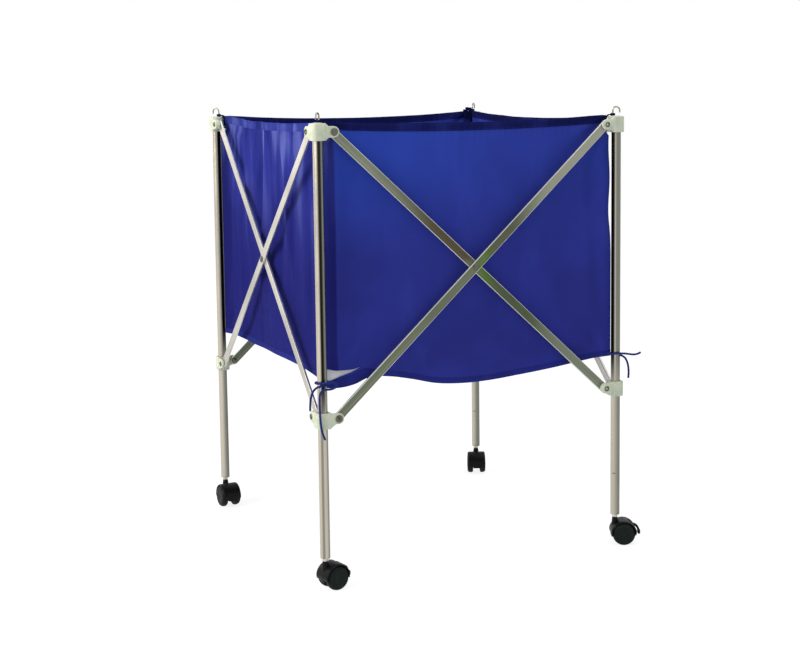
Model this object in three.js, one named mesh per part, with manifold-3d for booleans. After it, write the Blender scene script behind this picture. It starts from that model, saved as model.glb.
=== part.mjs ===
// A folding ball cart: four tube legs on swivel casters, a pair of crossed bars on each of its
// four faces, and a cloth bag that hangs from hooks on the legs.
// Millimetres, +Z up. The front faces -Y and the floor is at z = 0.
import * as THREE from "three";
import { mergeVertices } from "three/addons/utils/BufferGeometryUtils.js";
import Module from "manifold-3d";

const wasm = await Module();
wasm.setup();

// Clearances and overruns
const clearance = 0.3; // between pieces that touch or turn in each other
const overrun = 2; // how far a cutting tool runs past what it cuts

// Frame
const legSpacing = 640; // between the axes of neighbouring legs
const frameHeight = 820; // from the lower end of a tube to the top of its bracket
const tubeDiameter = 19;
const tubeWall = 1.2;
const crimpHeight = 88; // of the staking slot above the lower end of the tube
const crimpLength = 7;
const crimpWidth = 1.2;

// Bars and rivets
const barWidth = 18;
const barThickness = 5;
const barEdge = 1.1;
const rivetDiameter = 6;
const rivetHeadDiameter = 15;
const rivetHeadHeight = 2.6;
const rivetTailDiameter = 11;
const rivetTailHeight = 1.6;
const rivetTailRecess = 0.8;

// Brackets and sliders
const bracketSide = 27;
const bracketHeight = 32;
const bracketCorner = 4;
const bracketEdge = 1;
const capThickness = 6;
const sliderAbovePivot = 12.5;
const sliderBelowPivot = 18.5;
const sliderPivotHeight = 268; // of the lower pivots above the lower end of the tube
const pivotReach = 28; // from the axis of a leg to the pivots of its lugs
const lugThickness = 5;
const lugFace = 12.5; // from the axis of a leg out to the front of its lugs
const lugRadius = 10.5;
const lugSlope = 5; // width of the sloped shoulder between a bracket and its lug
const filletReach = 9; // of the hollow fillet under a slider's lug, along the lug

// Hooks
const wireDiameter = 3;
const hookWidth = 17;
const hookHeight = 18;
const hookTipHeight = 7;
const hookRootDepth = 5;

// Casters
const wheelDiameter = 47;
const wheelWidth = 12.8;
const wheelGap = 17;
const treadRound = 3.2;
const treadEdge = 1.2; // of the tread on the inner side of the wheel
const wheelDome = 0.9;
const axleDiameter = 6;
const axleSeatDepth = 10;
const casterTrail = 17;
const hoodGap = 1; // between the tread and the hood over it
const hoodWall = 2.5;
const hoodTopHeight = 56.5;
const hoodWebBottom = 11;
const hoodNeckRadius = 6.5;
const hoodRound = 2.3; // of the hood's edges beside the wheels
const hoodRearAngle = -6; // degrees above the axle at which the hood ends behind
const hoodFrontAngle = 186;
const stemDiameter = 8;
const stemDepth = 22;
const stemCollarDiameter = 13;
const stemCollarHeight = 5.2;
const plugLength = 96;

// Brake levers
const leverStemWidth = 7;
const leverPedalWidth = 17;
const leverThickness = 4.5;
const leverPinDiameter = 3;
const leverPinAngle = 52; // degrees above the axle at which the lever's pin lies
const leverPinInset = 6; // from the outside of the hood in to the pin
const leverEdge = 0.9;
const leverReach = 7.5; // of the pedal past the hood
const leverTipHeight = 21; // of the pedal's tip above the floor
const leverPlay = 1.6;

// Bag
const bagInset = 14.5; // from the axis of a leg in to the outside of the bag
const bagBottomHeight = 336; // of the bag's lower corners above the lower end of the tubes
const clothThickness = 2;
const rimRise = 3; // of the rim's corners above the brackets
const rimSag = 11;
const bottomSag = 25;
const hemHeight = 15;
const hemExtra = 0.5;
const loopWidth = 8;
const loopThickness = 2.4;
const loopPlay = 0.5;

// Ties, in the order of their routes. The points are measured from the axis of the leg and from
// the height of the bag's lower corners.
const tieDiameter = 3.5;
const frontLeftTie = [
  [-25, -0.8, -50],
  [-25, -1.9, -37],
  [-23.6, -3.7, -23],
  [-19.6, -7.1, -11],
  [-13.4, -10.4, -5],
  [-5.7, -12.8, -3],
  [1.7, -13.4, -2.5],
  [9.3, -8.6, -2],
  [13, -0.4, -1],
  [14.5, 7.8, 0],
  [12.2, 13.7, 0],
  [4.3, 14.5, 1],
  [-4.5, 11.9, 1.5],
  [-11, 6, 2.5],
  [-12.9, -1.9, 3.5],
  [-10.3, -9.6, 5],
  [-3.6, -15.4, 6.5],
  [4.8, -18.6, 7.5],
  [14, -20, 6.5],
  [20.5, -20.2, 1],
  [18.5, -19.8, -6],
  [10, -19.3, -9],
  [0.3, -18.8, -9],
  [-6.9, -17.7, -11],
  [-10.7, -16.6, -18],
  [-11.4, -15.7, -30],
  [-11.3, -15.4, -45],
  [-10.9, -15.6, -60],
  [-10, -16, -75],
  [-7.6, -16.9, -90],
  [-2.8, -18.5, -104],
];
const frontRightTie = [
  [44.9, -24.6, 3],
  [38.1, -22.6, 0],
  [30.4, -20.2, -1],
  [22.7, -17.9, 0],
  [14.5, -16.4, 1.5],
  [6, -15.9, 2.5],
  [-1.9, -14, 3],
  [-9.5, -8.9, 2],
  [-13.6, -1, 1],
  [-14.6, 6.6, 0.5],
  [-13.3, 12.6, 0],
  [-6.9, 16.3, -1],
  [1, 14.4, -2],
  [8.1, 10, -3],
  [11.6, 4, -3.5],
  [11, -3.5, -4],
  [11.2, -10.7, -4.5],
  [13.8, -15.5, -8],
  [16.8, -17.4, -15],
  [19.3, -18, -25],
  [20.4, -18, -37],
  [20.4, -16.8, -49],
];

// Counts of sides and steps
const tubeSides = 16;
const boreSides = 10;
const wheelSides = 20;
const wireSides = 8;
const archSteps = 6;
const tieSides = 8;
const tieStepShare = 2.5; // length of a tie's step as a share of its diameter
const edgeSteps = 8; // along the curved edge of a bag wall
const floorCells = 8;
const endSteps = 3; // half the sides of a round end
const cornerSteps = 1; // half the sides of a bracket's round corner
const hoodSides = 24;
const bevelShare = 0.29; // at which a bevel of two steps bends, as a share of its size

// The corners go round the cart as its faces do, and each turns the cart by one quarter. The
// heading is where the caster trails, and the staking slot faces the given direction, in degrees.
const corners = [
  { name: "front_left", heading: 12, crimp: 43, brake: true },
  { name: "front_right", heading: -24, crimp: -137, brake: true },
  { name: "back_right", heading: 246, crimp: -137, brake: false },
  { name: "back_left", heading: -86, crimp: 43, brake: false },
];
const faces = ["front", "right", "back", "left"];
const quarter = Math.PI / 2;

// Places that follow from the sizes
const tubeRadius = tubeDiameter / 2;
const tubeBore = tubeRadius - tubeWall;
const wheelRadius = wheelDiameter / 2;
const hoodInner = wheelRadius + hoodGap;
const hoodOuter = hoodInner + hoodWall;
const footHeight = hoodTopHeight + clearance + stemCollarHeight;
const topHeight = footHeight + frameHeight;
const topPivotHeight = topHeight - bracketHeight / 2;
const lowPivotHeight = footHeight + sliderPivotHeight;
const pivotHalfSpan = legSpacing / 2 - pivotReach;
const pivotDrop = topPivotHeight - lowPivotHeight;
const barLength = Math.hypot(2 * pivotHalfSpan, pivotDrop);
const barSlope = Math.atan2(pivotDrop, 2 * pivotHalfSpan);
// Depths from the plane of the leg axes outwards: the outer bar lies behind the thin lugs and
// the inner bar behind the outer one, which is as deep as the thick lugs reach.
const outerBarFront = lugFace - lugThickness - clearance;
const outerBarBack = outerBarFront - barThickness;
const innerBarFront = outerBarBack - clearance;
const innerBarBack = innerBarFront - barThickness;
const bagHalf = legSpacing / 2 - bagInset;
const bagBottom = footHeight + bagBottomHeight;
const rimHeight = topHeight + rimRise;

// Materials
const finish = (color, roughness, metalness) =>
  new THREE.MeshStandardMaterial({ color, roughness, metalness });
const anodised = finish(0xc3c1b8, 0.38, 0.9);
const barMetal = finish(0xa9aba3, 0.42, 0.85);
const steel = finish(0xb9b6ae, 0.3, 1);
const nylon = finish(0xdfe3d6, 0.5, 0);
const blackPlastic = finish(0x1c1e1f, 0.5, 0);
const blueCloth = finish(0x2a339b, 0.75, 0);
const tieCord = finish(0x27306e, 0.8, 0);

// Solids from closed geometry, and back
function solid(geometry) {
  const bare = geometry.index ? geometry.toNonIndexed() : geometry.clone();
  bare.deleteAttribute("normal");
  bare.deleteAttribute("uv");
  const merged = mergeVertices(bare);
  return new wasm.Manifold(
    new wasm.Mesh({
      numProp: 3,
      vertProperties: merged.attributes.position.array,
      triVerts: new Uint32Array(merged.index.array),
    }),
  );
}

function surface(shape) {
  const mesh = shape.getMesh();
  const made = new THREE.BufferGeometry();
  made.setAttribute("position", new THREE.BufferAttribute(mesh.vertProperties, 3));
  made.setIndex(new THREE.BufferAttribute(mesh.triVerts, 1));
  const flat = made.toNonIndexed();
  flat.computeVertexNormals();
  return flat;
}

function joined(geometries, cuts = []) {
  const body = geometries.map(solid).reduce((a, b) => a.add(b));
  return surface(cuts.map(solid).reduce((a, b) => a.subtract(b), body));
}

// A plate of the outline between two depths, with bevelled edges.
function plate(outline, from, to, edge = 0, steps = endSteps) {
  const made = new THREE.ExtrudeGeometry(outline, {
    depth: to - from - 2 * edge,
    bevelEnabled: edge > 0,
    bevelThickness: edge,
    bevelSize: edge,
    bevelOffset: -edge,
    bevelSegments: 1,
    curveSegments: steps,
  });
  return made.translate(0, 0, from + edge);
}

// A turned piece whose axis is Z; the profile's points are radius and height, from the bottom up.
function turned(profile, sides) {
  const points = profile.map(([radius, height]) => new THREE.Vector2(radius, height));
  return new THREE.LatheGeometry(points, sides).rotateX(quarter);
}

function rod(radius, from, to, sides) {
  return turned(
    [
      [0, from],
      [radius, from],
      [radius, to],
      [0, to],
    ],
    sides,
  );
}

function sweep(curve, radius, sides, steps) {
  const section = new THREE.Shape();
  for (let i = 0; i < sides; i++) {
    const angle = (4 * quarter * i) / sides;
    section[i === 0 ? "moveTo" : "lineTo"](radius * Math.cos(angle), radius * Math.sin(angle));
  }
  return new THREE.ExtrudeGeometry(section, { steps, extrudePath: curve, curveSegments: 1 });
}

function roundedSquare(side, corner) {
  const half = side / 2;
  const inner = half - corner;
  const outline = new THREE.Shape();
  outline.absarc(inner, -inner, corner, -quarter, 0);
  outline.absarc(inner, inner, corner, 0, quarter);
  outline.absarc(-inner, inner, corner, quarter, 2 * quarter);
  outline.absarc(-inner, -inner, corner, 2 * quarter, 3 * quarter);
  return outline;
}

// Turns what is drawn face on (right, up, out of the face) into the cart's directions for the
// face that comes so many quarter turns after the front one.
function faceOn(geometry, turns = 0) {
  return geometry.rotateX(quarter).rotateZ(turns * quarter);
}

// Lugs, drawn face on with their pivot at the height zero. Side 1 reaches right and -1 left.
function bracketLug(side) {
  const inside = bracketSide / 2 - bracketEdge;
  const tall = bracketHeight / 2 - bracketEdge;
  const outline = new THREE.Shape();
  outline.moveTo(0, -tall);
  outline.lineTo(side * inside, -tall);
  outline.lineTo(side * (inside + lugSlope), -lugRadius);
  outline.lineTo(side * pivotReach, -lugRadius);
  const start = side > 0 ? -quarter : 3 * quarter;
  outline.absarc(side * pivotReach, 0, lugRadius, start, quarter, side < 0);
  outline.lineTo(side * (inside + lugSlope), lugRadius);
  outline.lineTo(side * inside, tall);
  outline.lineTo(0, tall);
  return outline;
}

function sliderLug(side) {
  const top = sliderAbovePivot - bracketEdge;
  const bottom = bracketEdge - sliderBelowPivot;
  const inside = bracketSide / 2;
  const outline = new THREE.Shape();
  outline.moveTo(0, bottom);
  outline.lineTo(side * (inside - bracketEdge), bottom);
  const waist = side * (inside + (pivotReach - inside) / 2);
  outline.quadraticCurveTo(waist, -lugRadius, side * (inside + filletReach), -lugRadius);
  outline.lineTo(side * pivotReach, -lugRadius);
  const start = side > 0 ? -quarter : 3 * quarter;
  outline.absarc(side * pivotReach, 0, lugRadius, start, quarter, side < 0);
  outline.lineTo(side * inside, top);
  outline.lineTo(0, top);
  return outline;
}

// The hole of a lug goes through whatever depth the lug has.
function lugBore(side) {
  const bore = rod(rivetDiameter / 2 + clearance, innerBarBack, lugFace + overrun, boreSides);
  return bore.translate(side * pivotReach, 0, 0);
}

// The lug to the right of a leg belongs to its own face and the one to the left to the face before.
function lugPair(outline, rightBack, leftBack) {
  const right = plate(outline(1), rightBack, lugFace);
  const left = plate(outline(-1), leftBack, lugFace);
  return {
    lugs: [faceOn(right), faceOn(left, -1)],
    bores: [faceOn(lugBore(1)), faceOn(lugBore(-1), -1)],
  };
}

// The hook stands in the diagonal plane, with its root on the inner side of the leg.
const wireRadius = wireDiameter / 2;
const hookRadius = (hookWidth - wireDiameter) / 2;
const archHeight = hookHeight - wireRadius - hookRadius;
const inward = new THREE.Vector3(1, 1, 0).normalize();
const hookPoint = (distance, height) =>
  inward.clone().multiplyScalar(distance).setZ(height);

function topBracket() {
  const body = plate(
    roundedSquare(bracketSide, bracketCorner),
    -bracketHeight / 2,
    bracketHeight / 2,
    bracketEdge,
    cornerSteps,
  );
  const { lugs, bores } = lugPair(bracketLug, outerBarBack, lugFace - lugThickness);
  const socketTop = bracketHeight / 2 - capThickness;
  const socket = rod(tubeRadius + clearance, -bracketHeight, socketTop, tubeSides);
  const root = hookPoint(hookRadius, 0);
  const rootBottom = bracketHeight / 2 - hookRootDepth - clearance;
  const rootHole = rod(wireRadius + clearance, rootBottom, bracketHeight, boreSides);
  rootHole.translate(root.x, root.y, 0);
  return joined([body, ...lugs], [socket, rootHole, ...bores]);
}

function slider() {
  const body = plate(
    roundedSquare(bracketSide, bracketCorner),
    -sliderBelowPivot,
    sliderAbovePivot,
    bracketEdge,
    cornerSteps,
  );
  const { lugs, bores } = lugPair(sliderLug, lugFace - lugThickness, outerBarBack);
  const bore = rod(tubeRadius + clearance, -bracketHeight, bracketHeight, tubeSides);
  return joined([body, ...lugs], [bore, ...bores]);
}

function legTube(crimpAngle) {
  const length = frameHeight - capThickness - clearance;
  const tube = turned(
    [
      [tubeBore, 0],
      [tubeRadius - tubeWall / 2, 0],
      [tubeRadius, tubeWall / 2],
      [tubeRadius, length],
      [tubeBore, length],
      [tubeBore, 0],
    ],
    tubeSides,
  );
  const slot = new THREE.BoxGeometry(tubeDiameter, crimpLength, crimpWidth);
  slot.translate(tubeDiameter / 2 + tubeBore - overrun, 0, crimpHeight);
  slot.rotateZ(THREE.MathUtils.degToRad(crimpAngle));
  return joined([tube], [slot]);
}

function hook() {
  const points = [hookPoint(hookRadius, -hookRootDepth), hookPoint(hookRadius, 0)];
  points.push(hookPoint(hookRadius, archHeight / 2));
  for (let i = 0; i <= archSteps; i++) {
    const angle = (Math.PI * i) / archSteps;
    const up = archHeight + hookRadius * Math.sin(angle);
    points.push(hookPoint(hookRadius * Math.cos(angle), up));
  }
  points.push(hookPoint(-hookRadius, hookTipHeight));
  const curve = new THREE.CatmullRomCurve3(points, false, "centripetal");
  return sweep(curve, wireRadius, wireSides, 2 * archSteps);
}

// Casters are drawn with the axis of the stem on Z and the wheels trailing towards +X.
function hoodAngle(degrees, radius) {
  const angle = THREE.MathUtils.degToRad(degrees);
  const x = casterTrail + radius * Math.cos(angle);
  return [x, wheelRadius + radius * Math.sin(angle)];
}

function casterWeb() {
  const webRadius = (hoodInner + hoodOuter) / 2;
  const low = Math.asin((hoodWebBottom - wheelRadius) / webRadius);
  const outline = new THREE.Shape();
  outline.absarc(casterTrail, wheelRadius, webRadius, low, 2 * quarter - low);
  const half = wheelGap / 2 - clearance;
  return plate(outline, -half, half, 0, hoodSides / 2);
}

function casterShell() {
  const half = wheelGap / 2 + wheelWidth;
  const bend = hoodRound * bevelShare;
  const barrel = turned(
    [
      [0, -half],
      [hoodOuter - hoodRound, -half],
      [hoodOuter - bend, bend - half],
      [hoodOuter, hoodRound - half],
      [hoodOuter, half - hoodRound],
      [hoodOuter - bend, half - bend],
      [hoodOuter - hoodRound, half],
      [0, half],
    ],
    hoodSides,
  );
  const room = rod(hoodInner, -half - overrun, half + overrun, hoodSides);
  for (const round of [barrel, room]) round.translate(casterTrail, wheelRadius, 0);
  const far = 2 * hoodOuter;
  const below = new THREE.Shape();
  below.moveTo(casterTrail, wheelRadius);
  below.lineTo(...hoodAngle(hoodFrontAngle, far));
  below.lineTo(casterTrail - far, -far);
  below.lineTo(casterTrail + far, -far);
  below.lineTo(...hoodAngle(hoodRearAngle, far));
  return joined([barrel], [room, plate(below, -far, far)]);
}

// The lever swings about its pin in a slot at the back of the hood.
const leverPin = hoodAngle(leverPinAngle, hoodOuter - leverPinInset);

function leverOutline(grown) {
  const [pinX, pinZ] = leverPin;
  const tipX = casterTrail + hoodOuter + leverReach;
  const half = leverThickness / 2 + grown;
  const outline = new THREE.Shape();
  outline.absarc(pinX, pinZ, half, quarter, 3 * quarter);
  outline.lineTo(pinX + leverThickness, pinZ - half);
  outline.quadraticCurveTo(tipX - 2 * half, pinZ - half, tipX - 2 * half, leverTipHeight - grown);
  outline.lineTo(tipX + grown, leverTipHeight - grown);
  outline.quadraticCurveTo(tipX + grown, pinZ + half, pinX + leverThickness, pinZ + half);
  return outline;
}

function casterHood(brake) {
  const neck = rod(hoodNeckRadius, hoodTopHeight - stemDepth, hoodTopHeight, boreSides);
  const pieces = [faceOn(casterWeb()), faceOn(casterShell()), neck];
  const webSide = wheelGap / 2 - clearance;
  const socketBottom = hoodTopHeight - stemDepth - clearance;
  const cuts = [
    rod(stemDiameter / 2 + clearance, socketBottom, hoodTopHeight + overrun, boreSides),
  ];
  const axleBore = rod(axleDiameter / 2 + clearance, -wheelGap, wheelGap, boreSides);
  cuts.push(faceOn(axleBore.translate(casterTrail, wheelRadius, 0)));
  const roomRadius = wheelRadius + hoodGap / 2;
  const roomSide = wheelGap + wheelWidth;
  const rooms = [rod(roomRadius, webSide, roomSide, wheelSides)];
  rooms.push(rod(roomRadius, -roomSide, -webSide, wheelSides));
  for (const room of rooms) cuts.push(faceOn(room.translate(casterTrail, wheelRadius, 0)));
  if (brake) {
    const slotHalf = leverStemWidth / 2 + clearance;
    cuts.push(faceOn(plate(leverOutline(leverPlay), -slotHalf, slotHalf)));
    const pinHalf = leverStemWidth / 2 + 2 * clearance + leverPinDiameter / 2;
    const pinBore = rod(leverPinDiameter / 2 + clearance, -pinHalf, pinHalf, boreSides);
    cuts.push(faceOn(pinBore.translate(...leverPin, 0)));
  }
  return joined(pieces, cuts);
}

function brakeLever() {
  const stemHalf = leverStemWidth / 2;
  const stem = plate(leverOutline(0), -stemHalf, stemHalf);
  const pinHalf = stemHalf + leverPinDiameter / 2;
  const pin = rod(leverPinDiameter / 2, -pinHalf, pinHalf, boreSides);
  pin.translate(...leverPin, 0);
  const tipX = casterTrail + hoodOuter + leverReach;
  const pedalX = tipX - leverThickness;
  const [, pinZ] = leverPin;
  const pedalTop = (pinZ + leverTipHeight) / 2;
  const outline = new THREE.Shape();
  outline.moveTo(pedalX, leverTipHeight);
  outline.lineTo(tipX, leverTipHeight);
  outline.lineTo(tipX, pedalTop - leverThickness / 2);
  outline.lineTo(tipX - leverThickness / 2, pedalTop);
  outline.lineTo(pedalX, pedalTop);
  const pedalHalf = leverPedalWidth / 2;
  const pedal = plate(outline, -pedalHalf, pedalHalf, leverEdge);
  return joined([faceOn(stem), faceOn(pin), faceOn(pedal)]);
}

function wheel() {
  const bend = treadRound * bevelShare;
  const made = turned(
    [
      [0, axleSeatDepth],
      [axleDiameter / 2 + clearance, axleSeatDepth],
      [axleDiameter / 2 + clearance, 0],
      [wheelRadius - treadEdge, 0],
      [wheelRadius, treadEdge],
      [wheelRadius, wheelWidth - treadRound],
      [wheelRadius - bend, wheelWidth - bend],
      [wheelRadius - treadRound, wheelWidth],
      [0, wheelWidth + wheelDome],
    ],
    wheelSides,
  );
  return made.translate(0, 0, wheelGap / 2);
}

function axleRod() {
  const half = wheelGap / 2 + axleSeatDepth - clearance;
  return rod(axleDiameter / 2, -half, half, boreSides);
}

function casterStem() {
  const collarBottom = -footHeight + hoodTopHeight + clearance;
  return turned(
    [
      [0, collarBottom - clearance - stemDepth],
      [stemDiameter / 2, collarBottom - clearance - stemDepth],
      [stemDiameter / 2, collarBottom],
      [stemCollarDiameter / 2, collarBottom],
      [stemCollarDiameter / 2, -tubeWall],
      [tubeBore - clearance, 0],
      [tubeBore - clearance, plugLength],
      [0, plugLength],
    ],
    boreSides,
  );
}

// Rivets, drawn face on along their depth
function rivetHead(back, front) {
  return turned(
    [
      [0, back],
      [rivetDiameter / 2, back],
      [rivetDiameter / 2, front],
      [rivetHeadDiameter / 2, front],
      [rivetHeadDiameter / 2, front + rivetHeadHeight / 3],
      [rivetHeadDiameter / 4, front + rivetHeadHeight],
      [0, front + rivetHeadHeight],
    ],
    boreSides,
  );
}

function rivetTail(back, front) {
  const recessRadius = rivetDiameter / 2;
  return turned(
    [
      [0, back],
      [rivetDiameter / 2, back],
      [rivetDiameter / 2, front],
      [rivetTailDiameter / 2, front],
      [recessRadius, front + rivetTailHeight],
      [0, front + rivetTailHeight - rivetTailRecess],
    ],
    boreSides,
  );
}

// A bar lies along X from its left end, with the head of a rivet there and a rolled tail at its
// right end. Each rivet has a flange behind the bar.
function bar(back, front) {
  const half = barWidth / 2;
  const outline = new THREE.Shape();
  outline.absarc(0, 0, half, quarter, 3 * quarter);
  outline.absarc(barLength, 0, half, -quarter, quarter);
  const middle = (back + front) / 2;
  const flange = rod(rivetTailDiameter / 2, back - rivetTailHeight, middle, boreSides);
  const pieces = [
    plate(outline, back, front, barEdge),
    rivetHead(middle, lugFace + clearance),
    rivetTail(middle, lugFace + clearance).translate(barLength, 0, 0),
    flange,
    flange.clone().translate(barLength, 0, 0),
  ];
  const bore = rod(rivetDiameter / 2 + clearance, back - overrun, front + overrun, boreSides);
  return joined(pieces, [bore.translate(barLength / 2, 0, 0)]);
}

function centreRivet() {
  const back = innerBarBack - clearance;
  const head = rivetHead(back, outerBarFront + clearance);
  const tail = rod(rivetTailDiameter / 2, back - rivetTailHeight, back, boreSides);
  return joined([head, tail]);
}

// The bag's walls are drawn face on, with the hem along the rim and a loop round the hook at
// their left end.
function bagWall() {
  const left = -bagHalf;
  const right = bagHalf - clothThickness - hemExtra - clearance;
  const middle = (left + right) / 2;
  const bandBottom = rimHeight - hemHeight;
  const rim = (outline, height) =>
    outline.quadraticCurveTo(middle, height - 2 * rimSag, left, height);
  const cloth = new THREE.Shape();
  cloth.moveTo(left, bagBottom);
  cloth.quadraticCurveTo(middle, bagBottom - 2 * bottomSag, right, bagBottom);
  cloth.lineTo(right, rimHeight);
  rim(cloth, rimHeight);
  const band = new THREE.Shape();
  band.moveTo(left, bandBottom);
  band.quadraticCurveTo(middle, bandBottom - 2 * rimSag, right, bandBottom);
  band.lineTo(right, rimHeight);
  rim(band, rimHeight);
  const back = -clothThickness;
  const sheetOf = (outline, from, to) =>
    new THREE.ExtrudeGeometry(outline, {
      depth: to - from,
      bevelEnabled: false,
      curveSegments: edgeSteps,
    }).translate(0, 0, from);
  return [sheetOf(cloth, back, 0), sheetOf(band, back - hemExtra, 0)];
}

// The loop lies on the bracket round the hook's root and reaches in to the corner of the bag.
function hookLoop() {
  const inner = wireRadius + loopPlay;
  const outer = inner + loopThickness;
  const bottom = topHeight + clearance;
  const ringCentre = hookPoint(hookRadius, 0);
  const ring = rod(outer, bottom, bottom + loopThickness, boreSides);
  const hole = rod(inner, bottom - overrun, bottom + loopThickness + overrun, boreSides);
  const strapEnd = Math.SQRT2 * bagInset + clothThickness / 2;
  const strapStart = hookRadius + inner + loopThickness / 2;
  const strap = new THREE.BoxGeometry(strapEnd - strapStart, loopWidth, loopThickness);
  strap.translate((strapStart + strapEnd) / 2, 0, bottom + loopThickness / 2);
  strap.rotateZ(quarter / 2);
  ring.translate(ringCentre.x, ringCentre.y, 0);
  hole.translate(ringCentre.x, ringCentre.y, 0);
  return { pieces: [ring, strap], hole };
}

// Half of the bag's floor: a dish that follows the sagging lower edges of the walls.
function floorHalf() {
  const half = bagHalf - clothThickness - clearance;
  const columns = floorCells;
  const rows = floorCells / 2;
  const height = (u, v) => bagBottom - bottomSag * (2 - u * u - v * v);
  const point = (i, j, lift) => {
    const u = (2 * i) / columns - 1;
    const v = -1 + j / rows;
    const y = j === rows ? -clearance / 2 : v * half;
    return [u * half, y, height(u, v) + clearance + lift];
  };
  const positions = [];
  const quad = (a, b, c, d) => positions.push(...a, ...b, ...c, ...a, ...c, ...d);
  const top = (i, j) => point(i, j, clothThickness);
  const under = (i, j) => point(i, j, 0);
  for (let i = 0; i < columns; i++) {
    for (let j = 0; j < rows; j++) {
      quad(top(i, j), top(i + 1, j), top(i + 1, j + 1), top(i, j + 1));
      quad(under(i, j), under(i, j + 1), under(i + 1, j + 1), under(i + 1, j));
    }
    quad(under(i, 0), under(i + 1, 0), top(i + 1, 0), top(i, 0));
    quad(under(i + 1, rows), under(i, rows), top(i, rows), top(i + 1, rows));
  }
  for (let j = 0; j < rows; j++) {
    quad(under(0, j + 1), under(0, j), top(0, j), top(0, j + 1));
    quad(under(columns, j), under(columns, j + 1), top(columns, j + 1), top(columns, j));
  }
  const made = new THREE.BufferGeometry();
  made.setAttribute("position", new THREE.Float32BufferAttribute(positions, 3));
  made.computeVertexNormals();
  return made;
}

function tie(points) {
  const route = points.map(([x, y, z]) => new THREE.Vector3(x, y, z));
  const curve = new THREE.CatmullRomCurve3(route, false, "centripetal");
  const steps = Math.round(curve.getLength() / (tieStepShare * tieDiameter));
  return sweep(curve, tieDiameter / 2, tieSides, steps);
}

// The cart is put together here.
const cart = new THREE.Group();
const frame = new THREE.Group();
cart.add(frame);

function place(parent, name, geometry, material, x = 0, y = 0, z = 0) {
  const mesh = new THREE.Mesh(geometry, material);
  mesh.name = name;
  mesh.position.set(x, y, z);
  parent.add(mesh);
  return mesh;
}

const shared = {
  bracket: topBracket(),
  slider: slider(),
  hook: hook(),
  stem: casterStem(),
  wheel: faceOn(wheel()),
  farWheel: faceOn(wheel()).rotateZ(2 * quarter),
  axle: faceOn(axleRod()),
  outerBar: bar(outerBarBack, outerBarFront),
  innerBar: bar(innerBarBack, innerBarFront),
  centreRivet: centreRivet(),
};

const legPlaces = corners.map((corner, turns) => {
  const leg = new THREE.Group();
  leg.position.set(-legSpacing / 2, -legSpacing / 2, 0);
  leg.position.applyAxisAngle(new THREE.Vector3(0, 0, 1), turns * quarter);
  return leg;
});

corners.forEach(({ name, heading, crimp, brake }, turns) => {
  const leg = legPlaces[turns];
  frame.add(leg);
  const square = new THREE.Group();
  square.rotation.z = turns * quarter;
  leg.add(square);
  place(leg, `${name}_leg_tube`, legTube(crimp), anodised, 0, 0, footHeight);
  place(square, `${name}_top_bracket`, shared.bracket, nylon, 0, 0, topPivotHeight);
  place(square, `${name}_slider`, shared.slider, nylon, 0, 0, lowPivotHeight);
  place(square, `${name}_bag_hook`, shared.hook, steel, 0, 0, topHeight);
  place(leg, `${name}_caster_stem`, shared.stem, steel, 0, 0, footHeight);
  const caster = new THREE.Group();
  caster.rotation.z = THREE.MathUtils.degToRad(heading);
  leg.add(caster);
  place(caster, `${name}_caster_hood`, casterHood(brake), blackPlastic);
  const axlePlace = [casterTrail, 0, wheelRadius];
  place(caster, `${name}_wheel_right`, shared.wheel, blackPlastic, ...axlePlace);
  place(caster, `${name}_wheel_left`, shared.farWheel, blackPlastic, ...axlePlace);
  place(caster, `${name}_axle`, shared.axle, steel, ...axlePlace);
  if (brake) place(caster, `${name}_brake_lever`, brakeLever(), blackPlastic);
});

const loop = hookLoop();
const wallSheets = bagWall();
const cornerPlace = [-legSpacing / 2, -legSpacing / 2, 0];

function wallWithLoop() {
  const sheets = wallSheets.map((sheet) =>
    faceOn(sheet.clone()).translate(0, -bagHalf, 0),
  );
  const pieces = loop.pieces.map((piece) => piece.clone().translate(...cornerPlace));
  return joined([...sheets, ...pieces], [loop.hole.clone().translate(...cornerPlace)]);
}

faces.forEach((name, turns) => {
  const face = new THREE.Group();
  face.rotation.z = turns * quarter;
  frame.add(face);
  const front = new THREE.Group();
  front.rotation.x = quarter;
  front.position.y = -legSpacing / 2;
  face.add(front);
  const inner = place(
    front,
    `${name}_inner_bar`,
    shared.innerBar,
    barMetal,
    -pivotHalfSpan,
    topPivotHeight,
  );
  inner.rotation.z = -barSlope;
  const outer = place(
    front,
    `${name}_outer_bar`,
    shared.outerBar,
    barMetal,
    -pivotHalfSpan,
    lowPivotHeight,
  );
  outer.rotation.z = barSlope;
  const crossing = (topPivotHeight + lowPivotHeight) / 2;
  place(front, `${name}_centre_rivet`, shared.centreRivet, steel, 0, crossing, 0);
  place(face, `bag_${name}_wall`, wallWithLoop(), blueCloth);
});

const floorFront = floorHalf();
place(frame, "bag_floor_front_half", floorFront, blueCloth);
place(frame, "bag_floor_back_half", floorFront.clone().rotateZ(2 * quarter), blueCloth);

// The origin is on the floor, at the middle of the space that the cart takes.
const footprint = new THREE.Box3().setFromObject(frame).getCenter(new THREE.Vector3());
cart.position.set(-footprint.x, -footprint.y, 0);

place(legPlaces[0], "front_left_tie", tie(frontLeftTie), tieCord, 0, 0, bagBottom);
place(legPlaces[1], "front_right_tie", tie(frontRightTie), tieCord, 0, 0, bagBottom);

export default cart;
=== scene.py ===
"""Looks of a folding ball cart: aluminium tubes and crossed bars, nylon brackets, wire hooks,
twin-wheel casters and a hanging cloth bag. Sizes in the helpers are millimetres in the cart's own
frame, whose middle lies between the four tubes; place() brings them to metres in the scene."""

import math

import bpy
import numpy as np
from mathutils import Matrix, Vector


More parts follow.
